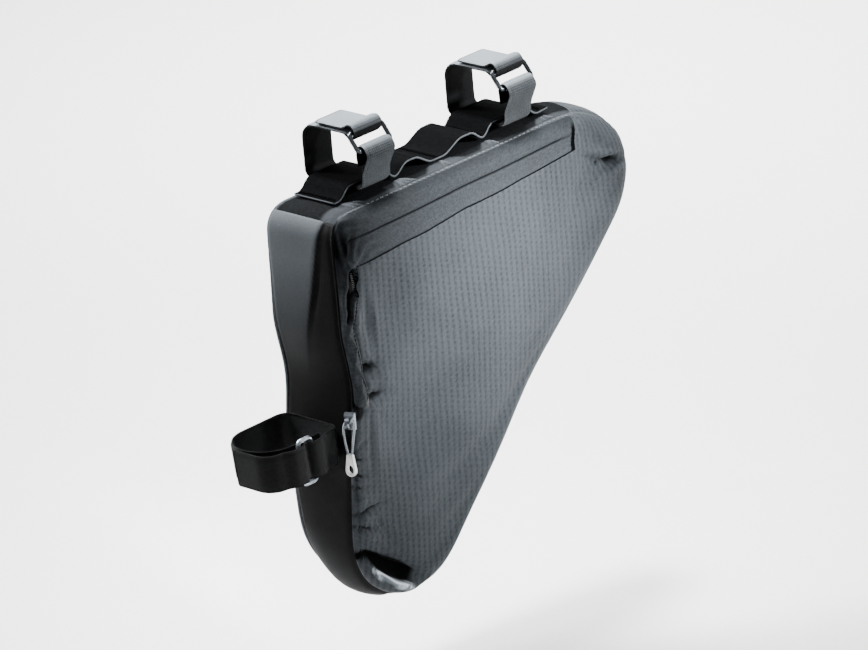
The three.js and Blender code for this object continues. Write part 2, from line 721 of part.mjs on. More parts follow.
function addPiece(name, geometry, material) {
  geometry.deleteAttribute("uv");
  geometry.computeVertexNormals();
  const mesh = new THREE.Mesh(geometry, materials[material]);
  mesh.name = name;
  group.add(mesh);
}

addPiece("right_panel", rightPanel, "ripstop");
addPiece("left_panel", panel(1, LEFT_PHASES), "ripstop");
addPiece("rear_gusset", gusset(bottomJoint + JOINT, cornerJoint - JOINT), "gusset_cloth");
addPiece("top_gusset", gusset(cornerJoint + JOINT, frontJoint - JOINT), "gusset_cloth");
addPiece("front_gusset", gusset(frontJoint - COUNT + JOINT, bottomJoint - JOINT), "ripstop");
addPiece("zip_tape", zip, "zip_cloth");
addPiece("zip_flap", flap(), "flap_cloth");
addPiece("top_tape", topTape(), "tape_cloth");
for (const [name, x] of [["rear", -STRAP_X], ["front", STRAP_X]]) {
  const place = (a, b, edge) => new THREE.Vector3(x + edge, a, b);
  addPiece(`strap_top_${name}`, strap(TOP_STRAP, place), "hook_webbing");
  const ringPlace = (a, b, out) => {
    const across = RING_MID.clone().addScaledVector(ringUp, b).addScaledVector(ringOut, out);
    return new THREE.Vector3(x + a, across.x, across.y);
  };
  addPiece(`ring_top_${name}`, ring(RING_HALF, -RING_REACH, RING_REACH, ringPlace), "ring_metal");
}
addPiece("strap_seat", strap(SEAT_STRAP, lean), "seat_webbing");
const seatRingPlace = (a, b, out) => lean(b, SEAT_RING_Y + out, a);
addPiece("ring_seat", ring(RING_HALF, SEAT_RING_REAR_X, SEAT_RING_FRONT_X, seatRingPlace), "ring_metal");
addPiece("zip_slider", slider(), "slider_metal");
addPiece("pull_cord", pullCord(), "pull_cord");
addPiece("zip_puller", puller(), "puller_plastic");

export default group;
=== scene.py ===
# Bicycle frame bag: cloth shell, zip flap, straps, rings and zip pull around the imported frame.
import math

import bpy
import numpy as np
from mathutils import Matrix, Vector
from mathutils.geometry import delaunay_2d_cdt


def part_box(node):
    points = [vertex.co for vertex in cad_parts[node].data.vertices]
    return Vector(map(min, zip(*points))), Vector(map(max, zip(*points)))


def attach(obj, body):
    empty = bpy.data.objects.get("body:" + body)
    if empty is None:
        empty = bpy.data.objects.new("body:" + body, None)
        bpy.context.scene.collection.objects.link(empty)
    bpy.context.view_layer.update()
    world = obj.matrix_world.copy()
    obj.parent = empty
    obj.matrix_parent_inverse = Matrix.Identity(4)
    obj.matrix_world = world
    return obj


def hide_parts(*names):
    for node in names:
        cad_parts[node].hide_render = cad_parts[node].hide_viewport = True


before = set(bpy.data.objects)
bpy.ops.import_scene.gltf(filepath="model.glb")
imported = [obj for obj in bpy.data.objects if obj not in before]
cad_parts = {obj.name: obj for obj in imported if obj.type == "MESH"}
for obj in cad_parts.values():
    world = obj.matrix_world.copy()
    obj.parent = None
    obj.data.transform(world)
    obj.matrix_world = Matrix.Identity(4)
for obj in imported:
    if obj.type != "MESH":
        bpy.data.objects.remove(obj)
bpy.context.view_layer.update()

# Sizes below are in mm, as in the part's source. Meshes are made in metres.
MM = 0.001
RIGHT = -1
LEFT = 1


def add_data(name, data):
    """A new object in the scene."""
    made = bpy.data.objects.new(name, data)
    bpy.context.collection.objects.link(made)
    return made


# Camera.

# The photograph's viewpoint and its axes. The lens is longer, so that the bag fills the picture.
VIEW_FROM = Vector((-2143.8, -2106.3, 1050.9)) * MM
VIEW_AHEAD = Vector((0.69263, 0.63923, -0.33413))
VIEW_UP = Vector((0.29558, 0.17101, 0.93989))
VIEW_AT = Vector((-8.0, -8.0, -112.0)) * MM
LENS = 258.0


def make_camera():
    data = bpy.data.cameras.new("camera")
    data.lens = LENS
    data.sensor_width = 36.0
    data.clip_end = 50.0
    camera = add_data("camera", data)
    ahead = (VIEW_AT - VIEW_FROM).normalized()
    up = VIEW_AHEAD.rotation_difference(ahead) @ VIEW_UP
    side = ahead.cross(up).normalized()
    turn = Matrix((side, side.cross(ahead), -ahead)).transposed().to_4x4()
    camera.matrix_world = Matrix.Translation(VIEW_FROM) @ turn
    bpy.context.scene.camera = camera


make_camera()


# Materials.


class Shader:
    """One procedural material and the few kinds of node that it is made of."""

    def __init__(self, name, roughness=0.8, metallic=0.0, specular=0.2, sheen=0.0):
        self.material = bpy.data.materials.new(name)
        self.material.use_nodes = True
        self.tree = self.material.node_tree
        self.bsdf = self.tree.nodes["Principled BSDF"]
        self.set("Roughness", roughness)
        self.set("Metallic", metallic)
        self.set("Specular IOR Level", specular)
        self.set("Sheen Weight", sheen)
        self.set("Sheen Roughness", 0.35)

    def plug(self, socket, value):
        if isinstance(value, bpy.types.NodeSocket):
            self.tree.links.new(value, socket)
        else:
            socket.default_value = value

    def set(self, name, value):
        self.plug(self.bsdf.inputs[name], value)

    def node(self, kind, inputs, **settings):
        """The outputs of a new node, with values or other outputs plugged into it."""
        made = self.tree.nodes.new(kind)
        for name, value in settings.items():
            setattr(made, name, value)
        for socket, value in inputs.items():
            self.plug(made.inputs[socket], value)
        return made.outputs

    def math(self, operation, a, b=0.0):
        return self.node("ShaderNodeMath", {0: a, 1: b}, operation=operation)[0]

    def plus(self, a, b):
        return self.math("ADD", a, b)

    def times(self, a, b):
        return self.math("MULTIPLY", a, b)

    def weighted(self, a, share_a, b, share_b):
        return self.plus(self.times(a, share_a), self.times(b, share_b))

    def cloth(self):
        """Cloth coordinates in mm."""
        return self.node("ShaderNodeUVMap", {}, uv_map="cloth")[0]

    def place(self):
        return self.node("ShaderNodeTexCoord", {})["Object"]

    def split(self, vector):
        return self.node("ShaderNodeSeparateXYZ", {0: vector})

    def noise(self, scale, detail=3.0, vector=None, distortion=0.0):
        inputs = {"Scale": scale, "Detail": detail, "Distortion": distortion}
        return self.node("ShaderNodeTexNoise", {"Vector": vector or self.place(), **inputs})[0]

    def yarns(self, pitch):
        """Uneven yarns that cross, from 0 to 1: two stretched noises over the cloth coordinates."""
        layers = []
        for stretch in ((0.35, 1.0, 1.0), (1.0, 0.35, 1.0)):
            inputs = {0: self.cloth(), 1: stretch}
            scaled = self.node("ShaderNodeVectorMath", inputs, operation="MULTIPLY")[0]
            layers.append(self.noise(1.0 / pitch, 2.0, scaled))
        return self.times(self.plus(*layers), 0.5)

    def wave(self, along, pitch, shift=0.0):
        """From 0 to 1 and back once each pitch."""
        turn = self.plus(self.times(along, 2 * math.pi / pitch), shift)
        return self.plus(self.times(self.math("COSINE", turn), 0.5), 0.5)

    def ramp(self, factor, *stops):
        node = self.tree.nodes.new("ShaderNodeValToRGB")
        self.plug(node.inputs[0], factor)
        for element, (at, colour) in zip(node.color_ramp.elements, stops):
            element.position = at
            element.color = (*colour, 1.0)
        return node.outputs[0]

    def mix(self, factor, under, colour):
        inputs = {0: factor, 6: under, 7: (*colour, 1.0)}
        return self.node("ShaderNodeMix", inputs, data_type="RGBA")[2]

    def attribute(self, name):
        return self.node("ShaderNodeAttribute", {}, attribute_name=name)["Fac"]

    def bump(self, height, depth, strength=1.0):
        """Depth in mm."""
        inputs = {"Strength": strength, "Distance": depth * MM, "Height": height}
        self.set("Normal", self.node("ShaderNodeBump", inputs)[0])

    def remap(self, value, low, high):
        return self.node("ShaderNodeMapRange", {0: value, 3: low, 4: high})[0]


def grey(level, cool=0.11):
    return (level * (1 - cool), level, level * (1 + cool))


RIB_PITCH = 4.2
DOT_PITCH = 3.0
YARN_PITCH = 0.9
# Colour of painted shade, put in folds and tucks, beside seams and along the flap's lines and corner.
PAINTED_SHADE_COLOUR = grey(0.0012)
# Colour of the painted highlight on the bottom corner's lip.
PAINTED_HIGHLIGHT = grey(0.75)


def ripstop_material(name, dark, light, specular=0.12):
    """Ripstop: thin yarns, with sunk ribs one way and staggered dots along them."""
    made = Shader(name, specular=specular, sheen=0.03)
    u, v, _ = made.split(made.cloth())
    column = made.math("FLOOR", made.plus(made.math("DIVIDE", u, RIB_PITCH), 0.5))
    rib = made.math("POWER", made.wave(u, RIB_PITCH), 1.6)
    dot = made.wave(v, DOT_PITCH, made.times(column, math.pi))
    sunk = made.times(rib, made.plus(made.times(dot, 0.55), 0.45))
    height = made.plus(made.weighted(made.yarns(YARN_PITCH), 0.9, sunk, -0.3), 0.3)
    tone = made.weighted(height, 0.6, made.noise(28.0), 0.3)
    # Painted shade where marked, with no specular there; a painted highlight where crest is marked.
    painted_shade = made.attribute("painted_shade")
    colour = made.mix(painted_shade, made.ramp(tone, (0.25, dark), (0.85, light)), PAINTED_SHADE_COLOUR)
    made.set("Specular IOR Level", made.remap(painted_shade, specular, 0.0))
    made.set("Base Color", made.mix(made.attribute("crest"), colour, PAINTED_HIGHLIGHT))
    made.set("Roughness", made.remap(height, 0.85, 0.7))
    made.bump(height, 0.3, 0.7)
    return made.material


def weave_material(name, dark, light, pitch, depth, roughness, crest=None, sheen=0.0, specular=0.12):
    """Plain weave of uneven yarns; crest is the colour painted where marked, such as painted shade on
    the flap and a painted highlight on the top cloth's pleats.
    """
    made = Shader(name, roughness=roughness, specular=specular, sheen=sheen)
    height = made.yarns(pitch)
    cloud = made.noise(35.0)
    tone = made.weighted(height, 0.8, cloud, 0.25)
    colour = made.ramp(tone, (0.35, dark), (0.75, light))
    if crest:
        marked = made.attribute("crest")
        if crest[1] < dark[1]:
            made.set("Specular IOR Level", made.remap(marked, specular, 0.0))
        else:
            marked = made.times(marked, made.remap(tone, 0.55, 1.0))
        colour = made.mix(marked, colour, crest)
    made.set("Base Color", colour)
    made.set("Roughness", made.remap(cloud, roughness - 0.08, roughness + 0.08))
    made.bump(height, depth)
    return made.material


def pile_material(name, dark, light, wear_and_painted_top_light):
    """Looped pile of a hook-and-loop strap, painted pale where marked: a painted highlight on its upward
    faces.
    """
    made = Shader(name, roughness=0.9, specular=0.06, sheen=0.03)
    u, v, _ = made.split(made.cloth())
    rows = made.times(made.wave(u, 1.1), made.wave(v, 1.3))
    height = made.weighted(rows, 0.35, made.noise(1700.0, 4.0, distortion=1.5), 0.9)
    tone = made.weighted(height, 0.7, made.noise(60.0, 2.0), 0.25)
    pale = made.times(made.attribute("crest"), made.remap(tone, 0.35, 1.0))
    made.set("Base Color", made.mix(pale, made.ramp(tone, (0.25, dark), (0.85, light)), wear_and_painted_top_light))
    made.bump(height, 0.5)
    return made.material


def metal_material(name, dark, light, roughness):
    made = Shader(name, metallic=0.85, specular=0.5)
    wear_and_painted_top_light = made.noise(220.0, 4.0)
    made.set("Base Color", made.ramp(wear_and_painted_top_light, (0.3, dark), (0.75, light)))
    made.set("Roughness", made.remap(wear_and_painted_top_light, roughness - 0.06, roughness + 0.1))
    made.bump(made.noise(900.0, 2.0), 0.03, 0.5)
    return made.material


def plastic_material(name, dark, light, roughness):
    made = Shader(name, specular=0.5)
    cloud = made.noise(300.0)
    made.set("Base Color", made.ramp(cloud, (0.3, dark), (0.7, light)))
    made.set("Roughness", made.remap(cloud, roughness - 0.08, roughness + 0.08))
    made.bump(made.noise(2500.0, 2.0), 0.03, 0.6)
    return made.material


def thread_material(name, dark, light, pitch):
    """Twisted thread or braid, by the place along each axis."""
    made = Shader(name, roughness=0.75, sheen=0.2)
    x, y, z = made.split(made.place())
    twist = made.wave(made.plus(made.plus(x, y), z), pitch * MM)
    height = made.weighted(twist, 0.6, made.noise(2500.0), 0.4)
    made.set("Base Color", made.ramp(height, (0.2, dark), (0.8, light)))
    made.bump(height, 0.15)
    return made.material


RIPSTOP = ripstop_material("ripstop", grey(0.005, 0.17), grey(0.041, 0.17))
FLAP = weave_material(
    "flap_weave", grey(0.007, 0.17), grey(0.028, 0.17), YARN_PITCH, 0.3, 0.8, crest=PAINTED_SHADE_COLOUR
)
# The top cloth's near-black is painted shade, as the top tube would cast; its marked grey is the open
# cloth, and a painted highlight on the pleats.
TOP_CLOTH = weave_material(
    "top_weave", grey(0.001), grey(0.006), YARN_PITCH, 0.3, 0.85, crest=grey(0.060), specular=0.02
)
SATIN = weave_material(
    "satin", grey(0.0005), grey(0.0022), 0.8, 0.16, 0.62, crest=grey(0.056), specular=0.05
)
TAPE = weave_material("tape_ribs", grey(0.0005), grey(0.0018), 1.2, 0.2, 0.85, specular=0.012)
TAPE_EDGE = weave_material("tape_edge", grey(0.025), grey(0.06), 0.8, 0.15, 0.75, sheen=0.03)
# The front strap's pile is a darker copy: painted shade against the key light that falls stronger on it.
# grey(0.19) is the painted highlight on both straps' upward faces.
PILES = {
    "rear": pile_material("rear_strap_pile", grey(0.006), grey(0.080), grey(0.19)),
    "front": pile_material("front_strap_pile", grey(0.004), grey(0.050), grey(0.19)),
}
HOOKS = weave_material("strap_hooks", grey(0.0012), grey(0.005), 0.8, 0.25, 0.7, specular=0.06)
SEAT_WEB = weave_material("seat_webbing", grey(0.0016), grey(0.006), 1.0, 0.18, 0.6, specular=0.06)
RING = metal_material("ring_metal", grey(0.03), grey(0.08), 0.2)
SEAT_RING = metal_material("seat_ring_metal", grey(0.20), grey(0.40), 0.28)
SLIDER = metal_material("slider_metal", grey(0.10), grey(0.22), 0.32)
ZIP = weave_material("zip_weave", grey(0.001), grey(0.004), 0.7, 0.12, 0.7, specular=0.06)
COIL = plastic_material("zip_coil", grey(0.002), grey(0.006), 0.45)
CORD = thread_material("cord_braid", grey(0.13), grey(0.30), 0.9)
THREAD = thread_material("seam_thread", grey(0.04), grey(0.09), 0.5)
PULLER = plastic_material("puller_plastic", (0.66, 0.66, 0.65), (0.84, 0.84, 0.83), 0.42)
FLOOR = plastic_material("floor", (0.50, 0.50, 0.50), (0.53, 0.53, 0.53), 0.7)


# Helpers for numbers and meshes.


def clamped(values):
    return np.clip(values, 0, 1)


def hump(away):
    """A soft hump: 1 in its middle, and nearly 0 twice its half width away."""
    return np.exp(-(away**2))


def unit(vectors):
    return vectors / np.maximum(np.linalg.norm(vectors, axis=-1, keepdims=True), 1e-12)


def distances(points):
    """Distance along a row of points, from the first one."""
    steps = np.linalg.norm(np.diff(points, axis=0), axis=1)
    return np.concatenate([[0.0], np.cumsum(steps)])


def on_line(at, along, points):
    """Points at the given distances along a row of points."""
    return np.stack([np.interp(at, along, column) for column in points.T], -1)


def net_faces(index):
    """Four-sided faces of a net of point numbers."""
    corners = (index[:-1, :-1], index[1:, :-1], index[1:, 1:], index[:-1, 1:])
    return np.stack(corners, -1).reshape(-1, 4)


def grid_faces(rows, columns):
    return net_faces(np.arange(rows * columns).reshape(rows, columns))


def vertex_normals(points, faces):
    a, b, c = (points[faces[:, k]] for k in range(3))
    normals = np.zeros_like(points)
    across = np.cross(b - a, c - a)
    for k in range(faces.shape[1]):
        np.add.at(normals, faces[:, k], across)
    return unit(normals)


def turned_out(points, faces, outward):
    """The faces, turned round if they face against outward."""
    facing = np.sum(vertex_normals(points, faces) * outward)
    return faces if facing > 0 else faces[:, ::-1]


def add_object(name, points, faces, materials, uv=None, marks=None, face_slots=None):
    mesh = bpy.data.meshes.new(name)
    places = (np.asarray(points) * MM).tolist()
    mesh.from_pydata(places, [], [list(map(int, face)) for face in faces])
    for material in materials:
        mesh.materials.append(material)
    if uv is not None:
        layer = mesh.uv_layers.new(name="cloth")
        order = np.empty(len(mesh.loops), dtype=np.int32)
        mesh.loops.foreach_get("vertex_index", order)
        layer.data.foreach_set("uv", np.asarray(uv, dtype=np.float32)[order].ravel())
    for mark, values in (marks or {}).items():
        made = mesh.attributes.new(mark, "FLOAT", "POINT")
        made.data.foreach_set("value", values.astype(np.float32))
    if face_slots is not None:
        mesh.polygons.foreach_set("material_index", face_slots.astype(np.int32))
    mesh.shade_smooth()
    return add_data(name, mesh)


def add_wall(piece, thick, offset=-1.0, inner=0, rim=0):
    wall = piece.modifiers.new("wall", "SOLIDIFY")
    wall.thickness = thick * MM
    wall.offset = offset
    wall.material_offset = inner
    wall.material_offset_rim = rim


def settle(piece, slot, *nodes):
    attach(piece, "root")
    if nodes:
        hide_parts(*nodes)


def tube_points(path, radius, sides, closed=False):
    """Rings of points round a path, with as little twist as the path allows."""
    if closed:
        ahead = unit(np.roll(path, -1, axis=0) - np.roll(path, 1, axis=0))
    else:
        ahead = unit(np.gradient(path, axis=0))
    side = np.cross(ahead[0], np.eye(3)[np.argmin(np.abs(ahead[0]))])
    angles = np.arange(sides)[:, None] * 2 * np.pi / sides
    rings = []
    for point, direction in zip(path, ahead):
        side = unit(side - direction * np.dot(side, direction))
        other = np.cross(direction, side)
        rings.append(point + radius * (np.cos(angles) * side + np.sin(angles) * other))
    return np.vstack(rings)


def tube_faces(rows, sides, closed=False):
    """Faces of a tube, with flat ends where it is open."""
    faces = []
    for i in range(rows if closed else rows - 1):
        k = (i + 1) % rows
        for j in range(sides):
            up = (j + 1) % sides
            faces.append((i * sides + j, i * sides + up, k * sides + up, k * sides + j))
    if not closed:
        faces.append(tuple(range(sides - 1, -1, -1)))
        faces.append(tuple((rows - 1) * sides + j for j in range(sides)))
    return faces


TUBE_SIDES = 6


def add_tubes(name, paths, radius, material):
    """One object of thin tubes, each along a path of its own."""
    points, faces = [], []
    for path in paths:
        first = sum(map(len, points))
        points.append(tube_points(path, radius, TUBE_SIDES))
        faces += [tuple(first + k for k in face) for face in tube_faces(len(path), TUBE_SIDES)]
    return add_object(name, np.vstack(points), faces, [material])


# The bag's outline.

REAR_X = -93
TOP_Z = -24
TOP_LEG = 287
REAR_LEG = 276
WALL = 1.5
FACE_Y = 32.5
FACE_TRIM = 4

# Corners before rounding, front, bottom and rear top: X, Z, fillet radius, steps round it,
# and steps along the side that follows.
CORNERS = (
    (REAR_X + TOP_LEG, TOP_Z, 38, 12, 13),
    (REAR_X, TOP_Z - REAR_LEG, 44, 12, 16),
    (REAR_X, TOP_Z, 12, 6, 17),
)
# Section at each corner and the side that follows: edge rounding, half thickness at the right
# seam, how much less it is at the left one, and the gusset's crown.
SECTIONS = (
    ((12, 26, 9, 1.5), (14, 28, 5, 3)),
    ((10, 26, 5, 3), (4, 28.5, 4, 1)),
    ((4.5, 27, 4, 1), (7, 27, 5, 1.5)),
)
# Where the outline draws in: X, Z, reach and depth.
DRAWN_IN = (
    (-93, -118, 22, 4),
    (-93, -86, 12, -1),
    (50, -160, 34, 2.5),
    (112, -35, 20, 4),
)
# Broad dents of the right panel: X, Z, direction in degrees, half length, half width, depth inward.
DENTS = (
    (116, -60, 12, 16, 3.5, 2.6),
    (108, -42, -50, 12, 4, 1.6),
    (112, -82, 30, 20, 7, -1.2),
    (-60, -226, -28, 20, 4, 3.2),
    (-72, -196, -62, 26, 6, 1.6),
    (-80, -148, 75, 18, 6, 1.8),
    (-78, -112, -20, 14, 5, 1.5),
    (-80, -84, 8, 14, 5, 1.2),
    (58, -142, 42, 40, 9, 1.5),
    (-8, -196, 60, 30, 9, 1.4),
    (20, -72, 4, 70, 14, -1.2),
)
# The bottom corner hangs lower on the right side: X, Z, reach, depth, half thickness.
DROOP = (-52, -232, 42, 4.5, 26)
IN_RADIUS = (TOP_LEG + REAR_LEG - math.hypot(TOP_LEG, REAR_LEG)) / 2
MIDDLE = np.array([REAR_X + IN_RADIUS, TOP_Z - IN_RADIUS])
OUTLINE_STEP = 0.5
OUTLINE_SOFT = 3.0
BLEND = 4


def fillet(a, b, c, radius, steps):
    """Points round a fillet at b between the lines from a and to c."""
    back, on = unit(np.subtract(a, b)), unit(np.subtract(c, b))
    half = math.acos(np.clip(back @ on, -1, 1)) / 2
    start = b + back * radius / math.tan(half)
    centre = b + unit(back + on) * radius / math.sin(half)
    sign = -1 if back[0] * on[1] - back[1] * on[0] > 0 else 1
    angles = sign * (math.pi - 2 * half) * np.arange(steps + 1) / steps
    arm = start - centre
    x = arm[0] * np.cos(angles) - arm[1] * np.sin(angles)
    z = arm[0] * np.sin(angles) + arm[1] * np.cos(angles)
    return centre + np.stack([x, z], -1)


def softened(values):
    """A closed row of values along the outline, smoothed."""
    reach = int(4 * OUTLINE_SOFT / OUTLINE_STEP)
    steps = np.arange(-reach, reach + 1)
    weights = np.exp(-0.5 * (steps * OUTLINE_STEP / OUTLINE_SOFT) ** 2)
    weights /= weights.sum()
    return sum(w * np.roll(values, k) for k, w in zip(steps, weights))


def make_outline():
    points, sections = [], []
    for i, (x, z, radius, steps, side_steps) in enumerate(CORNERS):
        before, after = CORNERS[i - 1], CORNERS[(i + 1) % 3]
        bend = fillet(before[:2], (x, z), after[:2], radius, steps)
        next_bend = fillet((x, z), after[:2], before[:2], after[2], after[3])
        points += list(bend)
        sections += [SECTIONS[i][0]] * len(bend)
        for k in range(1, side_steps):
            points.append(bend[-1] + (next_bend[0] - bend[-1]) * k / side_steps)
            sections.append(SECTIONS[i][1])
    points = np.array(points)
    inset = np.zeros(len(points))
    for x, z, reach, deep in DRAWN_IN:
        away = np.hypot(points[:, 0] - x, points[:, 1] - z) / reach
        inset += deep * hump(away)
    points += (MIDDLE - points) * (inset / IN_RADIUS)[:, None]
    rolled = [np.roll(np.array(sections, dtype=float), k, axis=0) for k in range(-BLEND, BLEND + 1)]
    columns = np.hstack([points, sum(rolled) / len(rolled)])
    closed = np.vstack([columns, columns[:1]])
    along = distances(closed[:, :2])
    count = int(round(along[-1] / OUTLINE_STEP))
    even = np.arange(count) * along[-1] / count
    return even, along[-1], [softened(np.interp(even, along, column)) for column in closed.T]


OUTLINE_AT, AROUND, OUTLINE = make_outline()
X, Z, ROUND, HALF, TRIM, CROWN = range(6)


def outline(s, column):
    return np.interp(s, OUTLINE_AT, OUTLINE[column], period=AROUND)


def polar_table():
    dx, dz = OUTLINE[X] - MIDDLE[0], OUTLINE[Z] - MIDDLE[1]
    angle = np.arctan2(dz, dx)
    order = np.argsort(angle)
    return angle[order], np.hypot(dx, dz)[order], np.unwrap(OUTLINE_AT[order], period=AROUND)


POLAR_ANGLE, POLAR_RADIUS, POLAR_S = polar_table()


def face_place(x, z):
    """Place along the outline and distance in from it, for a point of a side panel."""
    angle = np.arctan2(z - MIDDLE[1], x - MIDDLE[0])
    radius = np.interp(angle, POLAR_ANGLE, POLAR_RADIUS, period=2 * np.pi)
    lap = math.copysign(AROUND, POLAR_S[-1] - POLAR_S[0])
    angles = np.concatenate([POLAR_ANGLE + 2 * np.pi * k for k in (-1, 0, 1)])
    places = np.concatenate([POLAR_S + lap * k for k in (-1, 0, 1)])
    s = np.interp(angle, angles, places) % AROUND
    return s, IN_RADIUS * (1 - np.hypot(x - MIDDLE[0], z - MIDDLE[1]) / radius)


def drawn_in(s, inset):
    """X and Z of places on the outline, drawn in towards the middle."""
    return [outline(s, k) + (MIDDLE[k] - outline(s, k)) * inset / IN_RADIUS for k in (X, Z)]


def turned(x, y, at_x, at_y, degrees):
    """Distances from a place, along a direction and across it."""
    cosine, sine = math.cos(math.radians(degrees)), math.sin(math.radians(degrees))
    dx, dy = x - at_x, y - at_y
    return dx * cosine + dy * sine, dy * cosine - dx * sine


def bell(x, z, row):
    """One dent's depth: a long soft bell."""
    at_x, at_z, turn, long, wide, deep = row
    far, across = turned(x, z, at_x, at_z, turn)
    return deep * np.exp(-((far / long) ** 2) - (across / wide) ** 2)


def bells(x, z, rows):
    return sum(bell(x, z, row) for row in rows)


def drooped(points):
    x, z, reach, deep, half = DROOP
    away = np.hypot(points[..., 0] - x, points[..., 2] - z) / reach
    points[..., 2] += deep * hump(away) * points[..., 1] / half
    return points


def panel_points(s, phase, offset=0.0, side=RIGHT):
    """Points of a side panel: phase 0 to 1 rounds the edge, 1 to 2 goes to the panel's middle."""
    s, phase = np.broadcast_arrays(np.asarray(s, dtype=float), np.asarray(phase, dtype=float))
    trim, face_trim = (outline(s, TRIM), FACE_TRIM) if side == LEFT else (0, 0)
    round_edge = np.maximum(outline(s, ROUND) + offset, 0.5)
    angle = np.minimum(phase, 1) * np.pi / 2
    share = np.maximum(phase - 1, 0)
    inset = round_edge * (1 - np.cos(angle)) + share * (IN_RADIUS + offset - round_edge)
    edge = outline(s, HALF) + offset - trim - round_edge + round_edge * np.sin(angle)
    x, z = drawn_in(s, inset - offset)
    height = edge + (FACE_Y + offset - face_trim - edge) * (1 - (1 - share) ** 2)
    if side == RIGHT:
        height = height - bells(x, z, DENTS) * np.sin(angle) ** 2
    return drooped(np.stack([x, side * height, z], -1))


def phase_at(s, inset):
    round_edge = outline(s, ROUND)
    curved = np.arccos(np.clip(1 - inset / round_edge, -1, 1)) / (np.pi / 2)
    level = 1 + (inset - round_edge) / (IN_RADIUS - round_edge)
    return np.where(inset < round_edge, curved, level)


def inset_at(s, phase):
    round_edge = outline(s, ROUND)
    curved = round_edge * (1 - np.cos(np.minimum(phase, 1) * np.pi / 2))
    return curved + np.maximum(phase - 1, 0) * (IN_RADIUS - round_edge)


def flat_place(s, inset):
    return np.stack(drawn_in(s, inset), -1)


def panel_uv(s, phase):
    """A side panel laid flat, in mm."""
    round_edge = outline(s, ROUND)
    angle = np.minimum(phase, 1) * np.pi / 2
    level = np.maximum(phase - 1, 0) * (IN_RADIUS - round_edge)
    return flat_place(s, round_edge * (angle - np.pi / 2 + 1) + level)


def gusset_points(s, share):
    """Points of the gusset: share goes from -1 at the right seam to 1 at the left one."""
    s, share = np.broadcast_arrays(s, share)
    x, z = drawn_in(s, -outline(s, CROWN) * (1 - share**2))
    reach = outline(s, HALF) - outline(s, ROUND) - np.where(share > 0, outline(s, TRIM), 0)
    return drooped(np.stack([x, share * reach, z], -1))


def place_where(reached, first, last):
    """First place along the outline, between two, where a test of X and Z holds."""
    s = np.arange(first, last, 0.1)
    return s[np.argmax(reached(outline(s, X), outline(s, Z)))]


# Ends of the outline's parts, by the same places as in the part's source.
front_joint = place_where(lambda x, z: z < -26.6, 0, 60)
bottom_joint = place_where(lambda x, z: x < -65, 300, 600)
rear_start = place_where(lambda x, z: (x < -90) & (z > -205), 300, 700)
rear_top = place_where(lambda x, z: z > -34, rear_start, AROUND)
top_start = place_where(lambda x, z: x > -82, rear_top, AROUND)
corner_joint = (rear_top + top_start) / 2


# Zip pull: cord, puller and slider.

EDGE_OUT = np.array([-1, -0.3, 0]) / math.hypot(1, 0.3)
EDGE_SIDE = np.array([0.3, -1, 0]) / math.hypot(1, 0.3)
SLIDER_HALF_WIDE = 2.75
EYE_OUT = 4.0
CORD_R = 0.6
CORD_POINTS = 40
# Route of the cord loop from the puller through the slider's eye and back: side, up, out.
CORD_ROUTE = (
    (-1.1, -16.7, 4.4),
    (-2.1, -10, 4.6),
    (-2.4, -3, 4.4),
    (-1.4, 0, EYE_OUT),
    (1.4, 0, EYE_OUT),
    (3.7, 3, 4.6),
    (4.1, -2, 5),
    (2.7, -10, 5),
    (1.1, -16.7, 4.4),
)
# The puller, a drop with a hole: its top, its shoulders, and the round end and the hole as the
# height of the middle, half width and half height.
PULLER_TOP = -17
PULLER_OUT = 4.4
SHOULDERS = [(-1.45, -0.4), (-1.2, -0.3), (0, 0), (1.2, -0.3), (1.45, -0.4)]
ROUND_END = (-8.8, 2.6, 2.9)
HOLE = (-8.3, 2.0, 2.8)


def slider_place():
    low, high = (np.array(corner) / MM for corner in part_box("zip_slider"))
    x = high[0] - EDGE_SIDE[0] * SLIDER_HALF_WIDE
    y = high[1] + EDGE_SIDE[1] * SLIDER_HALF_WIDE
    return np.array([x, y, (low[2] + high[2]) / 2])


SLIDER_AT = slider_place()


def edge_place(out, side, up):
    return SLIDER_AT + EDGE_OUT * out + EDGE_SIDE * side + np.array([0, 0, up])


def between(a, b, low, high, at):
    return (high - at) / (high - low) * a + (at - low) / (high - low) * b


def smooth_path(points, count):
    """Points at even steps on a centripetal curve through the given ones, and its length."""
    points = np.asarray(points, dtype=float)
    padded = np.vstack([2 * points[0] - points[1], points, 2 * points[-1] - points[-2]])
    steps = np.linalg.norm(np.diff(padded, axis=0), axis=1)
    knots = np.concatenate([[0.0], np.cumsum(steps**0.5)])
    dense = []
    for i in range(len(points) - 1):
        p, t = padded[i : i + 4], knots[i : i + 4]
        at = np.linspace(t[1], t[2], 40, endpoint=False)[:, None]
        a = [between(p[k], p[k + 1], t[k], t[k + 1], at) for k in range(3)]
        b = [between(a[k], a[k + 1], t[k], t[k + 2], at) for k in range(2)]
        dense.append(between(*b, t[1], t[2], at))
    dense = np.vstack([*dense, points[-1:]])
    along = distances(dense)
    return on_line(np.linspace(0, along[-1], count), along, dense), along[-1]


def add_spline(data, points, closed=False):
    spline = data.splines.new("POLY")
    spline.points.add(len(points) - 1)
    for point, place in zip(spline.points, np.asarray(points) * MM):
        point.co = (*place, *(0.0,) * (3 - len(place)), 1.0)
    spline.use_cyclic_u = closed


def oval(row, turn):
    middle, half_wide, half_high = row
    return [(half_wide * math.cos(t), middle + half_high * math.sin(t)) for t in turn]


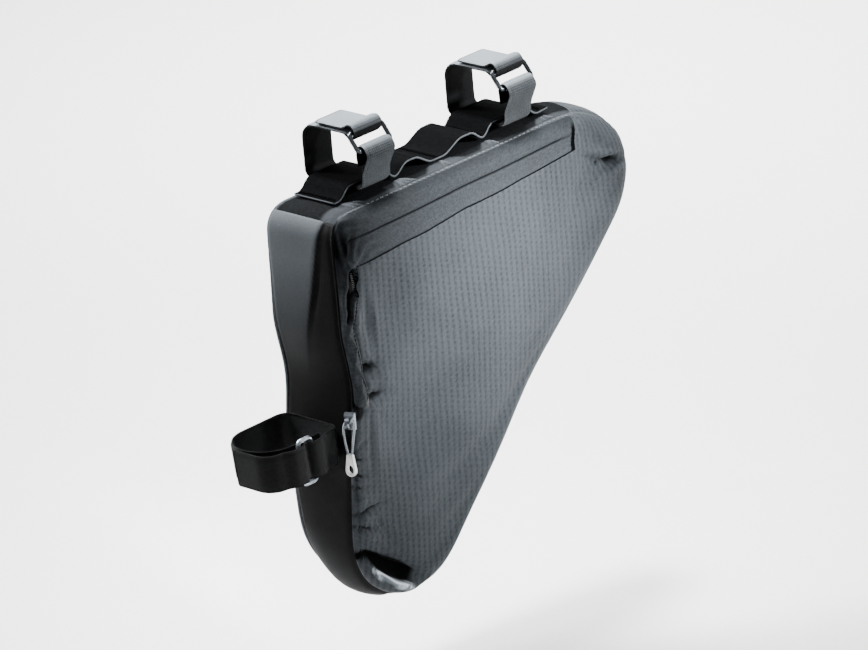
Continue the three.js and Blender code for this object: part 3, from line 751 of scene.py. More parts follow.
def make_puller():
    """Teardrop grip: a flat drop with rounded edges and a hole."""
    data = bpy.data.curves.new("zip_puller_drop", "CURVE")
    data.dimensions = "2D"
    data.fill_mode = "BOTH"
    data.extrude = 0.8 * MM
    data.bevel_depth = 0.3 * MM
    data.bevel_resolution = 3
    add_spline(data, SHOULDERS + oval(ROUND_END, np.linspace(0.2, -math.pi - 0.2, 40)), closed=True)
    add_spline(data, oval(HOLE, np.linspace(0, 2 * math.pi, 28)[:-1]), closed=True)
    shape = add_data("zip_puller_drop", data)
    seen = shape.evaluated_get(bpy.context.evaluated_depsgraph_get())
    mesh = bpy.data.meshes.new_from_object(seen)
    bpy.data.objects.remove(shape)
    basis = Matrix((EDGE_SIDE, (0, 0, 1), EDGE_OUT)).transposed().to_4x4()
    mesh.transform(Matrix.Translation(edge_place(PULLER_OUT, 0, PULLER_TOP) * MM) @ basis)
    mesh.materials.clear()
    mesh.materials.append(PULLER)
    mesh.shade_smooth()
    piece = add_data("puller_drop", mesh)
    settle(piece, "puller_plastic", "zip_puller")
    return piece


def make_cord(puller):
    places = [edge_place(out, side, up) for side, up, out in CORD_ROUTE]
    route, length = smooth_path(places, CORD_POINTS)
    data = bpy.data.curves.new("pull_loop", "CURVE")
    data.dimensions = "3D"
    data.bevel_depth = CORD_R * MM
    data.bevel_resolution = 4
    data.use_fill_caps = True
    add_spline(data, route)
    data.materials.append(CORD)
    piece = add_data("pull_loop", data)
    settle(piece, "pull_cord", "pull_cord")


make_cord(make_puller())

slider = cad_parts["zip_slider"]
slider.data.materials.clear()
slider.data.materials.append(SLIDER)
slider_edge = slider.modifiers.new("edge", "BEVEL")
slider_edge.width = 0.3 * MM
slider_edge.segments = 2
slider_edge.limit_method = "ANGLE"


# Side panels.

# Puckers and creases: X, Z, direction in degrees, half length, half width, depth inward.
CREASES = (
    (-77, -115, -4, 8, 2.6, -0.9),
    (-78, -130, -12, 9, 2.0, -0.7),
    (-89, -147, 20, 7, 1.6, 0.7),
    (-89, -166.5, -24, 6, 1.8, -0.8),
    (-88, -177, -12, 8, 3.0, -0.8),
    (-84, -188.5, -8, 10, 2.2, -0.9),
    (-84, -199, -28, 10, 2.2, -0.8),
    (-85, -79, -82, 9, 3.0, -1.2),
    (-75.5, -84, -85, 15, 3.4, 1.2),
    (118, -58.8, -13, 12, 1.5, 1.9),
    (112, -53, -20, 14, 2.6, -0.9),
    (112, -64, -8, 16, 2.8, -0.7),
    (98, -28, 35, 5, 1.2, 0.9),
    (103, -63, 38, 10, 2.2, 0.9),
    (101, -52, -28, 10, 2.0, 0.7),
    (96, -36, -60, 9, 2.0, 0.6),
)
CREASE_DEEP = 1.6
# Deep folds, with painted shade inside: the same columns.
FOLDS = (
    (-79.0, -108.2, -9, 7.5, 3.9, 4.2),
    (-77.0, -123.4, -5, 9.5, 2.5, 3.4),
    (-90, -154.3, -15, 4, 0.8, 1.3),
    (-90, -163.5, -24, 4.5, 0.8, 1.5),
    (-91, -170.0, -24, 4.5, 0.8, 1.5),
    (-85, -184.4, 2, 11, 0.9, 2.0),
    (-88, -193.3, -20, 8, 0.9, 1.8),
    (118.5, -58.6, -10, 9, 1.9, 2.4),
)
# Broad sags of the loose cloth: the same columns.
SAGS = (
    (-56, -158, 62, 60, 24, 4.2),
    (-30, -205, 55, 36, 20, 2.6),
    (40, -150, 44, 60, 16, 2.2),
    (112, -44, 70, 18, 16, 2.4),
    (91, -64, 48, 18, 6.5, 1.9),
    (-62, -84, 78, 30, 14, 1.4),
    (0, -108, 35, 46, 22, -1.6),
    (-87, -64, 82, 14, 3.6, 2.0),
)
# Sags of the panel on the other side: the same columns.
FAR_SAGS = (
    (-50, -120, 70, 60, 22, 2.4),
    (10, -100, 40, 60, 18, 1.8),
    (-40, -200, 55, 34, 16, 1.8),
    (70, -70, 30, 44, 16, 1.6),
    (-84, -150, 84, 44, 7, 1.0),
    (-62, -60, -40, 24, 7, 0.9),
)
# The bottom corner folds in, with painted shade inside, above a lip with a painted highlight: the same
# columns.
TUCKS = (
    (-70.5, -221.5, -37, 24, 5.2, 4.5),
    (-87.0, -210.8, -28, 9, 3.0, 2.4),
)
LIP = (-67.5, -230.0, -36, 20, 3.4, -2.2)
# Parts with loose cloth: the same columns, with a share in place of the depth.
LOOSE = (
    (-80, -160, 90, 60, 12, 1.0),
    (-76, -90, 90, 34, 10, 0.7),
    (-62, -220, -36, 34, 12, 1.0),
    (112, -62, -40, 22, 16, 0.9),
    (20, -130, 44, 70, 40, 0.12),
)
# Phases up to which the right panel has painted shade: along the top seam and under the rear strip.
SEAM_SHADE = 0.11
STRIP_SHADE = 0.75
# Every dent fades out towards the seam, over the first part of the rounded edge.
FADE_IN = 2.2

EDGE_DIP = 0.6
EDGE_REACH = 1.6
RIM_PHASE = 0.5
RIM_ROWS = 6
PANEL_STEP = 1.6
FINE_STEP = 0.8
NET_CLEAR = 0.6 * PANEL_STEP
# Parts of the right panel with a finer net: least and greatest X, least and greatest Z.
FINE_PARTS = (
    (-100, -62, -212, -48),
    (-100, -40, -246, -205),
    (96, 130, -74, -44),
)

# The flap and the zip run along the rear edge and the top.
FLAP_REAR_Z = -126
FLAP_FRONT_X = 88
ZIP_TAIL = 7
ZIP_SHARE = 0.62
ZIP_HALF = 2.3
# Inner edge of the flap, from its rear tip up the rear strip, round the corner and forward: X, Z.
FLAP_EDGE = (
    (-82.6, -127),
    (-82.2, -118),
    (-85.5, -100),
    (-88.0, -82),
    (-84.5, -72),
    (-83.0, -62),
    (-82.0, -51),
    (-52.0, -49),
    (-30.0, -48.2),
    (0.0, -45.6),
    (21.0, -45.2),
    (56.0, -43.2),
    (85.5, -41.5),
    (128.0, -39),
)
flap_rear = place_where(lambda x, z: z > FLAP_REAR_Z, rear_start, AROUND)
zip_rear = place_where(lambda x, z: z > FLAP_REAR_Z - ZIP_TAIL, rear_start, AROUND)
zip_front = place_where(lambda x, z: x > FLAP_FRONT_X + ZIP_TAIL, top_start, AROUND + 60)


def flap_insets():
    """The flap's inner edge, as places along the outline and distances in from it."""
    edge = np.array(FLAP_EDGE)
    along = distances(edge)
    s, inset = face_place(*on_line(np.arange(0, along[-1], 0.5), along, edge).T)
    s = np.where(s < AROUND / 2, s + AROUND, s)
    order = np.argsort(s)
    return s[order], inset[order]


FLAP_S, FLAP_INSET = flap_insets()


def flap_width(s):
    return np.interp(s, FLAP_S, FLAP_INSET)


def zip_middle(s):
    """Distance of the zip's middle in from the outline: it draws near the edge at the slider."""
    return flap_width(s) * np.interp(s - flap_rear, (-ZIP_TAIL, 14), (0.3, ZIP_SHARE))


def zip_loop():
    """The zip's slit, as a closed row of places along the outline and distances in from it."""
    s = np.arange(zip_rear, zip_front, 2.0)
    middle = zip_middle(s)
    insets = np.concatenate([middle - ZIP_HALF, (middle + ZIP_HALF)[::-1]])
    return np.concatenate([s, s[::-1]]), insets


def near_zip(s, inset, before, after, aside):
    """Whether places lie in the zip's slit, made longer and wider by these distances."""
    lap = np.where(s < zip_rear - AROUND / 2, s + AROUND, s)
    near = np.abs(inset - zip_middle(lap)) < ZIP_HALF + aside
    return (lap > zip_rear - before) & (lap < zip_front + after) & near


def even_places(low, high, step):
    """Places of an even triangular net that fills a box."""
    rows = []
    for i, z in enumerate(np.arange(low[1], high[1], step * math.sqrt(3) / 2)):
        x = np.arange(low[0] + (i % 2) * step / 2, high[0], step)
        rows.append(np.stack([x, np.full_like(x, z)], -1))
    return np.vstack(rows)


def in_fine_part(places):
    x, z = places.T
    inside = [(x > x0) & (x < x1) & (z > z0) & (z < z1) for x0, x1, z0, z1 in FINE_PARTS]
    return np.any(inside, axis=0)


def panel_net(side):
    """A side panel's net: rows round the edge, even triangles on the face, and the zip's slit."""
    count = int(AROUND / PANEL_STEP)
    ring_s = np.arange(count) * AROUND / count
    ring = flat_place(ring_s, inset_at(ring_s, RIM_PHASE))
    low, high = ring.min(axis=0), ring.max(axis=0)
    lattice = even_places(low, high, PANEL_STEP)
    if side == RIGHT:
        fine = even_places(low, high, FINE_STEP)
        lattice = np.vstack([lattice[~in_fine_part(lattice)], fine[in_fine_part(fine)]])
    s, inset = face_place(*lattice.T)
    inside = inset > inset_at(s, RIM_PHASE) + NET_CLEAR
    loops, given = [np.arange(count)], [ring]
    if side == RIGHT:
        slit = flat_place(*zip_loop())
        inside &= ~near_zip(s, inset, 1, 1, NET_CLEAR)
        given.append(slit)
        loops.append(count + np.arange(len(slit)))
    flat = np.vstack([*given, lattice[inside]])
    edges = [(int(a), int(b)) for loop in loops for a, b in zip(loop, np.roll(loop, -1))]
    places = [Vector(place) for place in flat]
    verts, _, faces, origin, _, _ = delaunay_2d_cdt(places, edges, [], 0, 1e-4)
    flat = np.array([(p.x, p.y) for p in verts])
    faces = np.array([face[:3] for face in faces])
    s, inset = face_place(*flat[faces].mean(axis=1).T)
    kept = inset > inset_at(s, RIM_PHASE) - 0.02
    if side == RIGHT:
        kept &= ~near_zip(s, inset, 0, -2, 0)
    faces = faces[kept]
    s, inset = face_place(*flat.T)
    phase = phase_at(s, np.maximum(inset, 0))
    on_ring = {first: i for i, firsts in enumerate(origin) for first in firsts if first < count}
    order = np.array([on_ring[i] for i in range(count)])
    s[order], phase[order] = ring_s, RIM_PHASE
    rim_phase = np.linspace(0, RIM_PHASE, RIM_ROWS)[:-1]
    rim = len(flat) + np.arange(count * len(rim_phase)).reshape(count, -1)
    index = np.hstack([rim, order[:, None]])
    quads = net_faces(np.vstack([index, index[:1]]))
    faces = np.vstack([faces, quads[:, [0, 1, 2]], quads[:, [0, 2, 3]]])
    used, renumbered = np.unique(faces, return_inverse=True)
    s = np.concatenate([s, np.repeat(ring_s, len(rim_phase))])[used]
    phase = np.concatenate([phase, np.tile(rim_phase, count)])[used]
    return s, phase, renumbered.reshape(faces.shape)


def edge_dip(s, phase):
    """The cloth dips into its seam."""
    rounded = outline(s, ROUND) * np.minimum(phase, 1) * np.pi / 2
    from_seam = rounded + np.maximum(phase - 1, 0) * 50
    return EDGE_DIP * hump(from_seam / EDGE_REACH)


# The groove beside the flap's rear strip: depth, half width, distance from the strip, and its end
# as a distance along the flap.
GROOVE_DEEP = 1.6
GROOVE_WIDE = 1.7
GROOVE_ASIDE = 0.8
GROOVE_END = 112
GROOVE_PITCH = 2.6


def strip_groove(s, phase):
    """The panel dips along the inner edge of the flap's rear strip."""
    away = (inset_at(s, phase) - flap_width(s) - GROOVE_ASIDE) / GROOVE_WIDE
    beside = clamped((s - flap_rear + 4) / 4)
    beside = beside * clamped((flap_rear + GROOVE_END - s) / 10)
    teeth = 0.75 + 0.25 * np.sin(s * 2 * np.pi / GROOVE_PITCH)
    return GROOVE_DEEP * hump(away) * beside * teeth


DRAPE_FRAMES = 26
DRAPE_LIMIT = 2.6
CLOTH_SETTINGS = {
    "quality": 6,
    "mass": 0.02,
    "tension_stiffness": 20,
    "compression_stiffness": 20,
    "shear_stiffness": 10,
    "bending_stiffness": 0.03,
    "air_damping": 2.0,
    "vertex_group_mass": "held",
    "pin_stiffness": 4.0,
    "vertex_group_shrink": "loose",
    "shrink_min": 0.0,
    "shrink_max": -0.14,
    "use_pressure": True,
    "uniform_pressure_force": 0.25,
}


def draped(points, faces, held, loose):
    """The points after a cloth simulation with held seams, loose cloth and some pressure inside."""
    piece = add_object("drape", points, faces, [])
    for name, weights in (("held", held), ("loose", loose)):
        group = piece.vertex_groups.new(name=name)
        for i in np.flatnonzero(weights > 0.001):
            group.add([int(i)], float(weights[i]), "REPLACE")
    cloth = piece.modifiers.new("cloth", "CLOTH")
    for name, value in CLOTH_SETTINGS.items():
        setattr(cloth.settings, name, value)
    cloth.settings.effector_weights.gravity = 0.4
    cloth.collision_settings.use_collision = False
    cloth.point_cache.frame_start = 1
    cloth.point_cache.frame_end = DRAPE_FRAMES
    scene = bpy.context.scene
    for step in range(1, DRAPE_FRAMES + 1):
        scene.frame_set(step)
    result = piece.evaluated_get(bpy.context.evaluated_depsgraph_get()).to_mesh()
    places = np.empty(3 * len(points), dtype=np.float32)
    result.vertices.foreach_get("co", places)
    moved = places.reshape(-1, 3) / MM - points
    bpy.data.objects.remove(piece)
    scene.frame_set(1)
    far = np.linalg.norm(moved, axis=1, keepdims=True)
    return points + moved * DRAPE_LIMIT * np.tanh(far / DRAPE_LIMIT) / np.maximum(far, 1e-6)


def panel_held(s, phase):
    """1 at the seams and under the flap, where the panel stays in place, down to 0 on the face."""
    under_flap = np.where(s > flap_rear - 8, flap_width(s) + 1.5, 0)
    under_flap = np.where(s > AROUND - 2, 0, under_flap)
    edge = np.maximum(under_flap, 0.35 * outline(s, ROUND))
    return clamped(1 - (inset_at(s, phase) - edge) / 3.0)


def oriented(points, faces, side):
    """Every triangle turned to face the way its panel faces."""
    a, b, c = (points[faces[:, k]] for k in range(3))
    away = (a + b + c) / 3 - np.array([MIDDLE[0], 0, MIDDLE[1]])
    away[:, 1] = 0
    outward = np.array([0.0, side, 0.0]) + 0.5 * unit(away)
    facing = np.sum(np.cross(b - a, c - a) * outward, axis=1)
    return np.where((facing > 0)[:, None], faces, faces[:, ::-1])


def marked(x, z, row, gain, least):
    """A mark from 0 to 1 on the middle of one dent."""
    return clamped(bell(x, z, row) / row[5] * gain - least)


def right_marks(s, phase, x, z):
    """Marks of the right panel: painted shade in its folds, along the top seam and beside the flap, and
    a painted highlight on the lip.
    """
    beside_strip = clamped((s - flap_rear + 6) / 6) * clamped((top_start - s) / 8)
    painted_shade = [marked(x, z, row, 6.0, 2.2) for row in TUCKS]
    painted_shade += [0.9 * marked(x, z, row, 2.4, 0.9) for row in FOLDS]
    painted_shade.append(clamped(1 - phase / SEAM_SHADE) * (s > top_start))
    painted_shade.append(clamped((STRIP_SHADE - phase) / 0.2) * beside_strip)
    painted_shade = np.maximum.reduce(painted_shade)
    # The lip's painted highlight, in streaks.
    streak = 0.5 + 0.5 * np.sin((x * 0.59 + z * 0.81) * 2.6 + np.sin(x * 0.35) * 1.4)
    crest = marked(x, z, LIP, 4.0, 1.4) * (0.12 + 0.88 * streak**2) * (1 - painted_shade)
    return {"painted_shade": painted_shade, "crest": crest}


def make_panel(name, side, node):
    s, phase, faces = panel_net(side)
    points = panel_points(s, phase, 0.0, side)
    faces = oriented(points, faces, side)
    if side == RIGHT:
        loose = clamped(bells(points[:, 0], points[:, 2], LOOSE))
        points = draped(points, faces, panel_held(s, phase), loose)
    x, z = points[:, 0], points[:, 2]
    if side == RIGHT:
        sag = bells(x, z, (*SAGS, *FOLDS, *TUCKS, LIP)) + CREASE_DEEP * bells(x, z, CREASES)
        groove = strip_groove(s, phase)
        marks = right_marks(s, phase, x, z)
    else:
        sag = bells(x, z, FAR_SAGS)
        groove = 0
        marks = {"painted_shade": np.zeros(len(s)), "crest": np.zeros(len(s))}
    depth = edge_dip(s, phase) + sag * clamped(phase * FADE_IN) + groove
    points = points - vertex_normals(points, faces) * depth[:, None]
    piece = add_object(name, points, faces, [RIPSTOP], uv=panel_uv(s, phase), marks=marks)
    add_wall(piece, WALL)
    settle(piece, "ripstop", node)
    return piece


right_panel = make_panel("right_shell", RIGHT, "right_panel")
left_panel = make_panel("left_shell", LEFT, "left_panel")


# Gussets.

SEAM_DIP = 0.7
SEAM_REACH = 1.8
# The rear gusset's slanting fold: Y at the top, slope, height, and the Z where it has faded out.
FOLD_TOP_Y = -18.0
FOLD_SLOPE = 0.23
FOLD_STEP = 1.3
FOLD_LOW_Z = -118
# The slit beside that fold: distance before it, half width, Z, half height, depth.
SLIT = (3, 1.6, -64, 17, 0.9)
# Below this Z the rear gusset is a little paler: a painted reflection of the floor on its lower
# rounding.
PALE_BELOW_Z = -196
PALE_SHARE = 0.28
# The tape along the top.
TAPE_HALF_Y = 14
TAPE_THICK = 1.4
TAPE_X = (
    -78, -73, -67.5, -39.5, -34.5, -31.5, -25, -16, -7,
    5, 16, 26, 32.5, 35, 39.5, 67.5, 74, 84,
)
TAPE_Z = (
    -21.4, -21.4, -15.3, -15.3, -21.2, -21.2, -15.8, -15.8, -21.4,
    -21.4, -15.8, -15.8, -21.2, -21.2, -15.3, -15.3, -20.9, -20.2,
)
# Middles of the places where the tape is sewn down.
TACKS = (-75.5, -33, -1, 33.75, 79)
# Pleats that fan out from the tape's sewn places over the top gusset: X, direction in degrees, length.
PLEATS = (
    (-74, -62, 13),
    (-74, -40, 15),
    (-74, -20, 14),
    (-34, -100, 9),
    (-34, -78, 12),
    (-33, -58, 13),
    (-32, -36, 15),
    (-1, -95, 7),
    (-1, -60, 9),
    (34, -92, 7),
    (34, -52, 11),
    (76, -70, 9),
    (78, -35, 11),
)
PLEAT_Y = -14.5
PLEAT_WIDE = 0.55
PLEAT_HIGH = 1.2


def tape_line():
    x = np.arange(TAPE_X[0], TAPE_X[-1], 0.5)
    shifted = [np.interp(x + k, TAPE_X, TAPE_Z) for k in np.linspace(-2.5, 2.5, 11)]
    return x, np.mean(shifted, axis=0)


def pleat_share(x, y):
    share = np.zeros_like(x)
    for at_x, turn, long in PLEATS:
        far, across = turned(x, y, at_x, PLEAT_Y, turn)
        fade = clamped((far + 1) / 2) * clamped((long - far) / 4)
        share = np.maximum(share, fade * hump(across / PLEAT_WIDE))
    return share


def make_gusset(name, node, s0, s1, material, slot, step, columns, relief):
    rows = int((s1 - s0) / step) + 1
    across = np.linspace(-1, 1, columns) * np.pi / 2 * 0.9
    share = np.sin(across) / math.sin(np.pi / 2 * 0.9)
    s = np.repeat(np.linspace(s0, s1, rows), columns)
    share = np.tile(share, rows)
    points = gusset_points(s, share)
    from_seam = (1 - np.abs(share)) * (outline(s, HALF) - outline(s, ROUND))
    away = (points - np.array([MIDDLE[0], 0, MIDDLE[1]])) * (1, 0, 1)
    faces = turned_out(points, grid_faces(rows, columns), away)
    lift, crest = relief(s, points)
    lift = lift - SEAM_DIP * hump(from_seam / SEAM_REACH)
    points = points + vertex_normals(points, faces) * lift[:, None]
    uv = np.stack([s, points[:, 1]], -1)
    piece = add_object(name, points, faces, [material], uv=uv, marks={"crest": crest})
    add_wall(piece, WALL)
    settle(piece, slot, node)
    return piece


def rear_relief(s, points):
    """A fold slants across the gusset: black beside the zip, grey cloth beyond it at the top, fading to
    black downwards as painted shade, with a painted reflection near the bottom.
    """
    _, y, z = points.T
    past = y - FOLD_TOP_Y - FOLD_SLOPE * (TOP_Z - z)
    # The fold and the far cloth's grey fade out downwards; the fading grey is painted shade.
    fade = clamped((z - FOLD_LOW_Z) / 70) ** 1.5
    fold = FOLD_STEP * fade / (1 + np.exp(-past / 0.6))
    before, half_wide, slit_z, half_high, deep = SLIT
    slit = deep * np.exp(-(((past + before) / half_wide) ** 2) - ((z - slit_z) / half_high) ** 2)
    sway = 0.5 * np.sin(z * 0.045) * np.sin((y + 20) * 0.11)
    # Painted reflection of the floor near the bottom.
    under = PALE_SHARE * clamped((PALE_BELOW_Z - z) / 30) * clamped((y + 14) / 20)
    return fold - slit + sway, np.maximum(clamped(past / 0.7) * fade, under)


def top_relief(s, points):
    """Pleats and a sag beside the tape, where the open cloth is a little paler: painted shade stays
    under the tape's arches, and the pleats' ridges take a painted highlight.
    """
    x, y, _ = points.T
    pleats = pleat_share(x, y)
    sag = 0.25 * (1 - np.cos((x + 40) * 0.16)) * hump((y + 17) / 4)
    arched = clamped((np.interp(x, *tape_line()) + 20.5) / 4)
    open_cloth = 0.4 * clamped((-y - 13 - 5 * arched) / 2)
    return PLEAT_HIGH * pleats - sag, np.maximum(pleats, open_cloth)


def slant_relief(s, points):
    return 0.5 * np.sin(s * 0.05) * np.cos(points[:, 1] * 0.1), np.zeros(len(points))


rear_gusset = make_gusset(
    "rear_cloth", "rear_gusset", bottom_joint, corner_joint, SATIN, "gusset_cloth", 1.1, 80, rear_relief
)
top_end = AROUND + front_joint
top_gusset = make_gusset(
    "top_cloth", "top_gusset", corner_joint, top_end, TOP_CLOTH, "gusset_cloth", 0.7, 64, top_relief
)
front_gusset = make_gusset(
    "front_cloth", "front_gusset", front_joint, bottom_joint, RIPSTOP, "ripstop", 1.6, 30, slant_relief
)


# Zip and its flap.

FLAP_GAP = 0.45
FLAP_THICK = 1.2
FLAP_START = 0.35
FLAP_COLUMNS = 60
FLAP_TIP = 5.0
# Rows of the flap's net: from one share of its length to another, and how many.
FLAP_ROWS = ((0, 0.36, 150), (0.36, 0.97, 110), (0.97, 1, 16))
# The flap's front end lies in a slanting plane: X at this Z, and its slope.
FLAP_END_X = 93.0
FLAP_END_Z = -12.03
FLAP_END_SLOPE = 0.25
# Distances along the flap: where painted shade begins, where the rear strip ends, where the hem begins,
# the middles of the painted-shade and the wrinkled parts of the corner, and where the hem runs straight.
SHADE_FROM = 72
STRIP_END = 84
HEM_FROM = 90
CORNER_DARK = 90
CORNER_WRINKLED = 98
HEM_BEND = 112
HEM_RUN = 6.5
HEM_SHARE = 0.48
HEM_GROOVE = 0.8
END_FADE = 14
EDGE_LIFT = 0.9
STRIP_PUFF = 1.1
ZIGZAG_PITCH = 8.5
ZIGZAG_HIGH = 0.9
WRINKLE_HIGH = 0.55
TOOTH_PITCH = 2.4
# Half widths of the lines of painted shade along the free edge, the hem and the front end.
EDGE_LINE = 0.6
HEM_LINE = 0.3
END_LINE = 2.6
LINE_SOFT = 0.4
# The flap gapes where it turns down: distance along it, half length, middle, half width and slant
# as shares, depth, and the height of its lips.
HOLLOW_AT = 65.0
HOLLOW_LONG = 17.5
HOLLOW_MIDDLE = 0.6
HOLLOW_WIDE = 0.24
HOLLOW_SLANT = 0.013
HOLLOW_DEEP = 1.7
HOLLOW_LIPS = 1.1


def flap_phase(s, share):
    """Phases at even distances across the flap, and the distance left to its inner edge."""
    round_edge = outline(s, ROUND)
    quarter = round_edge * np.pi / 2
    wide = flap_width(s)
    last = np.where(wide > round_edge, quarter + wide - round_edge, quarter * phase_at(s, wide))
    first = quarter * FLAP_START
    arc = first + (last - first) * share
    level = 1 + (arc - quarter) / (IN_RADIUS - round_edge)
    return np.where(arc < quarter, arc / quarter, level), last - arc


def flap_grid():
    """Places of the flap's net, closer on the strip and at the end, and distances to its end."""
    share = np.linspace(0, 1, FLAP_COLUMNS)[None, :]
    dense = np.arange(flap_rear, flap_rear + 330, 0.5)[:, None]
    points = panel_points(dense, flap_phase(dense, share)[0], FLAP_GAP)
    end_x = FLAP_END_X + FLAP_END_SLOPE * (points[..., 2] - FLAP_END_Z)
    past = (dense > top_start) & (points[..., 0] > end_x)
    last = dense[np.argmax(past, axis=0), 0][None, :]
    step = np.unique(np.concatenate([np.linspace(*row) for row in FLAP_ROWS]))[:, None]
    s = flap_rear + (last - flap_rear) * step
    tip = np.clip((s - flap_rear) / FLAP_TIP, 0.02, 1)
    return s, 0.5 + (share - 0.5) * np.sqrt(1 - (1 - tip) ** 2), last - s


def dark_line(away, half):
    return clamped(1 - (np.abs(away) - half) / LINE_SOFT)


def flap_gape(strip, share):
    """The gape's width along the flap, its depth, and its raised lips."""
    from_middle = strip - HOLLOW_AT
    lens = np.sqrt(clamped(1 - (from_middle / HOLLOW_LONG) ** 2))
    lens = lens * (1 + 0.3 * np.sin(from_middle * 0.2) + 0.04 * np.sin(strip * 0.9))
    bend = 0.07 * np.sin(from_middle * 0.33)
    aside = np.abs(share - HOLLOW_MIDDLE - bend - HOLLOW_SLANT * from_middle)
    gape = clamped((HOLLOW_WIDE * lens - aside) / 0.16 + 0.4) * clamped(lens * 3)
    lips = HOLLOW_LIPS * lens * hump((aside - HOLLOW_WIDE * lens - 0.12) / 0.09)
    return lens, gape, lips


def make_flap():
    s, share, from_end = flap_grid()
    phase, from_edge = flap_phase(s, share)
    wide = flap_width(s)
    points = panel_points(s, phase, FLAP_GAP + FLAP_THICK).reshape(-1, 3)
    faces = turned_out(points, grid_faces(*s.shape), (0.0, -1.0, 0.0))
    normals = vertex_normals(points, faces)
    strip = s - flap_rear
    along_top = clamped((strip - STRIP_END) / 14)
    straight_on = HEM_RUN * clamped((HEM_BEND - strip) / 20) ** 2
    from_hem = from_edge - (1 - HEM_SHARE) * wide - straight_on
    on_hem = clamped((strip - HEM_FROM) / 4) * clamped(from_end / END_FADE)
    hem = HEM_GROOVE * hump(from_hem / 0.7) * on_hem
    seam = 0.5 * hump(share * wide / 1.2)
    ripple = 0.8 + 0.16 * np.sin(s * 0.21) + 0.24 * np.sin(s * 0.093 + 1.3)
    lift = EDGE_LIFT * clamped(1 - from_edge / 6) ** 2 * ripple * along_top
    lens, gape, lips = flap_gape(strip, share)
    loose = 0.65 + 0.35 * np.sin(strip * 0.33) + 0.25 * np.sin(strip * 0.71 + share * 2)
    sway = 0.35 + 0.4 * np.abs((strip / ZIGZAG_PITCH) % 2 - 1)
    puff = STRIP_PUFF * np.sin(np.pi * share) * loose
    puff = puff + ZIGZAG_HIGH * hump((share - sway) / 0.13)
    puff = puff * (1 - along_top) * clamped(strip / 6) * (1 - lens)
    wrinkles = WRINKLE_HIGH * np.sin(share * 30 + 1.6 * np.sin(strip * 0.27))
    wrinkles = wrinkles * hump((strip - CORNER_WRINKLED) / 11) * clamped(from_edge / 3)
    height = lift + puff + lips + wrinkles - HOLLOW_DEEP * gape - hem - seam

    # Painted shade in the gape and along the lines, round the corner, on the rear-facing side and on the
    # upper side.
    teeth = EDGE_LINE * (1 + 0.9 * np.sin(strip * 2 * np.pi / TOOTH_PITCH) * (1 - along_top))
    backward, upward = (normals[:, k].reshape(s.shape) * sign for k, sign in ((0, -1), (2, 1)))
    wisps = 0.86 + 0.14 * np.sin(share * 26 + strip * 0.5)
    corner = hump((strip - CORNER_DARK) / 17) * clamped(1.6 - share * 2.1)
    dark = [
        gape,
        dark_line(from_edge, teeth),
        dark_line(from_end, END_LINE) * clamped(share * 4 - 0.3),
        0.85 * dark_line(from_hem, HEM_LINE) * on_hem,
        clamped((backward - 0.25) / 0.4) * clamped((strip - SHADE_FROM) / 12),
        0.55 * clamped((upward - 0.2) / 0.6),
        corner * wisps,
    ]
    points = points + normals * height.reshape(-1, 1)
    uv = np.stack([s.ravel(), (share * wide).ravel()], -1)
    marks = {"crest": np.maximum.reduce(dark).ravel()}
    # Its inner face and rim take the black hook cloth, as painted shade in the gap under the flap's
    # edge.
    piece = add_object("flap_cover", points, faces, [FLAP, HOOKS], uv=uv, marks=marks)
    add_wall(piece, FLAP_THICK, inner=1, rim=1)
    settle(piece, "flap_cloth", "zip_flap")


make_flap()

ZIP_SUNK = 0.15
ZIP_THICK = 1.2
COIL_PITCH = 1.3
COIL_R = 0.45
COIL_HALF = 1.2
COIL_SUNK = 0.7
COIL_POINTS = 5
# The coil lies this far beside the strip, and goes in under the flap from this distance along it.
COIL_ASIDE = 0.9
COIL_UNDER = 60
COIL_FADE = 30


def make_zip():
    s = np.arange(zip_rear, zip_front, 1.5)[:, None]
    inset = zip_middle(s) + np.linspace(-ZIP_HALF, ZIP_HALF, 7)[None, :]
    points = panel_points(s, phase_at(s, inset), -ZIP_SUNK).reshape(-1, 3)
    faces = turned_out(points, grid_faces(*inset.shape), (-0.6, -0.8, 0.0))
    uv = np.stack([np.broadcast_to(s, inset.shape).ravel(), inset.ravel()], -1)
    piece = add_object("zip_strip", points, faces, [ZIP], uv=uv)
    add_wall(piece, ZIP_THICK)
    settle(piece, "zip_cloth", "zip_tape")
    paths = []
    for at in np.arange(zip_rear + 1, zip_front - 1, COIL_PITCH):
        under = clamped((at - flap_rear - COIL_UNDER) / COIL_FADE)
        middle = between(flap_width(at) + COIL_ASIDE, zip_middle(at), 0, 1, under)
        inset = middle + np.linspace(-COIL_HALF, COIL_HALF, COIL_POINTS)
        paths.append(panel_points(at, phase_at(at, inset), -COIL_SUNK * (1 - under)))
    settle(add_tubes("zip_teeth", paths, COIL_R, COIL), "zip_cloth")


make_zip()


# Top tape.

TACK_R = 0.22
TACK_HALF = 1.2
TACK_POINTS = 40
TACK_END = 1.5


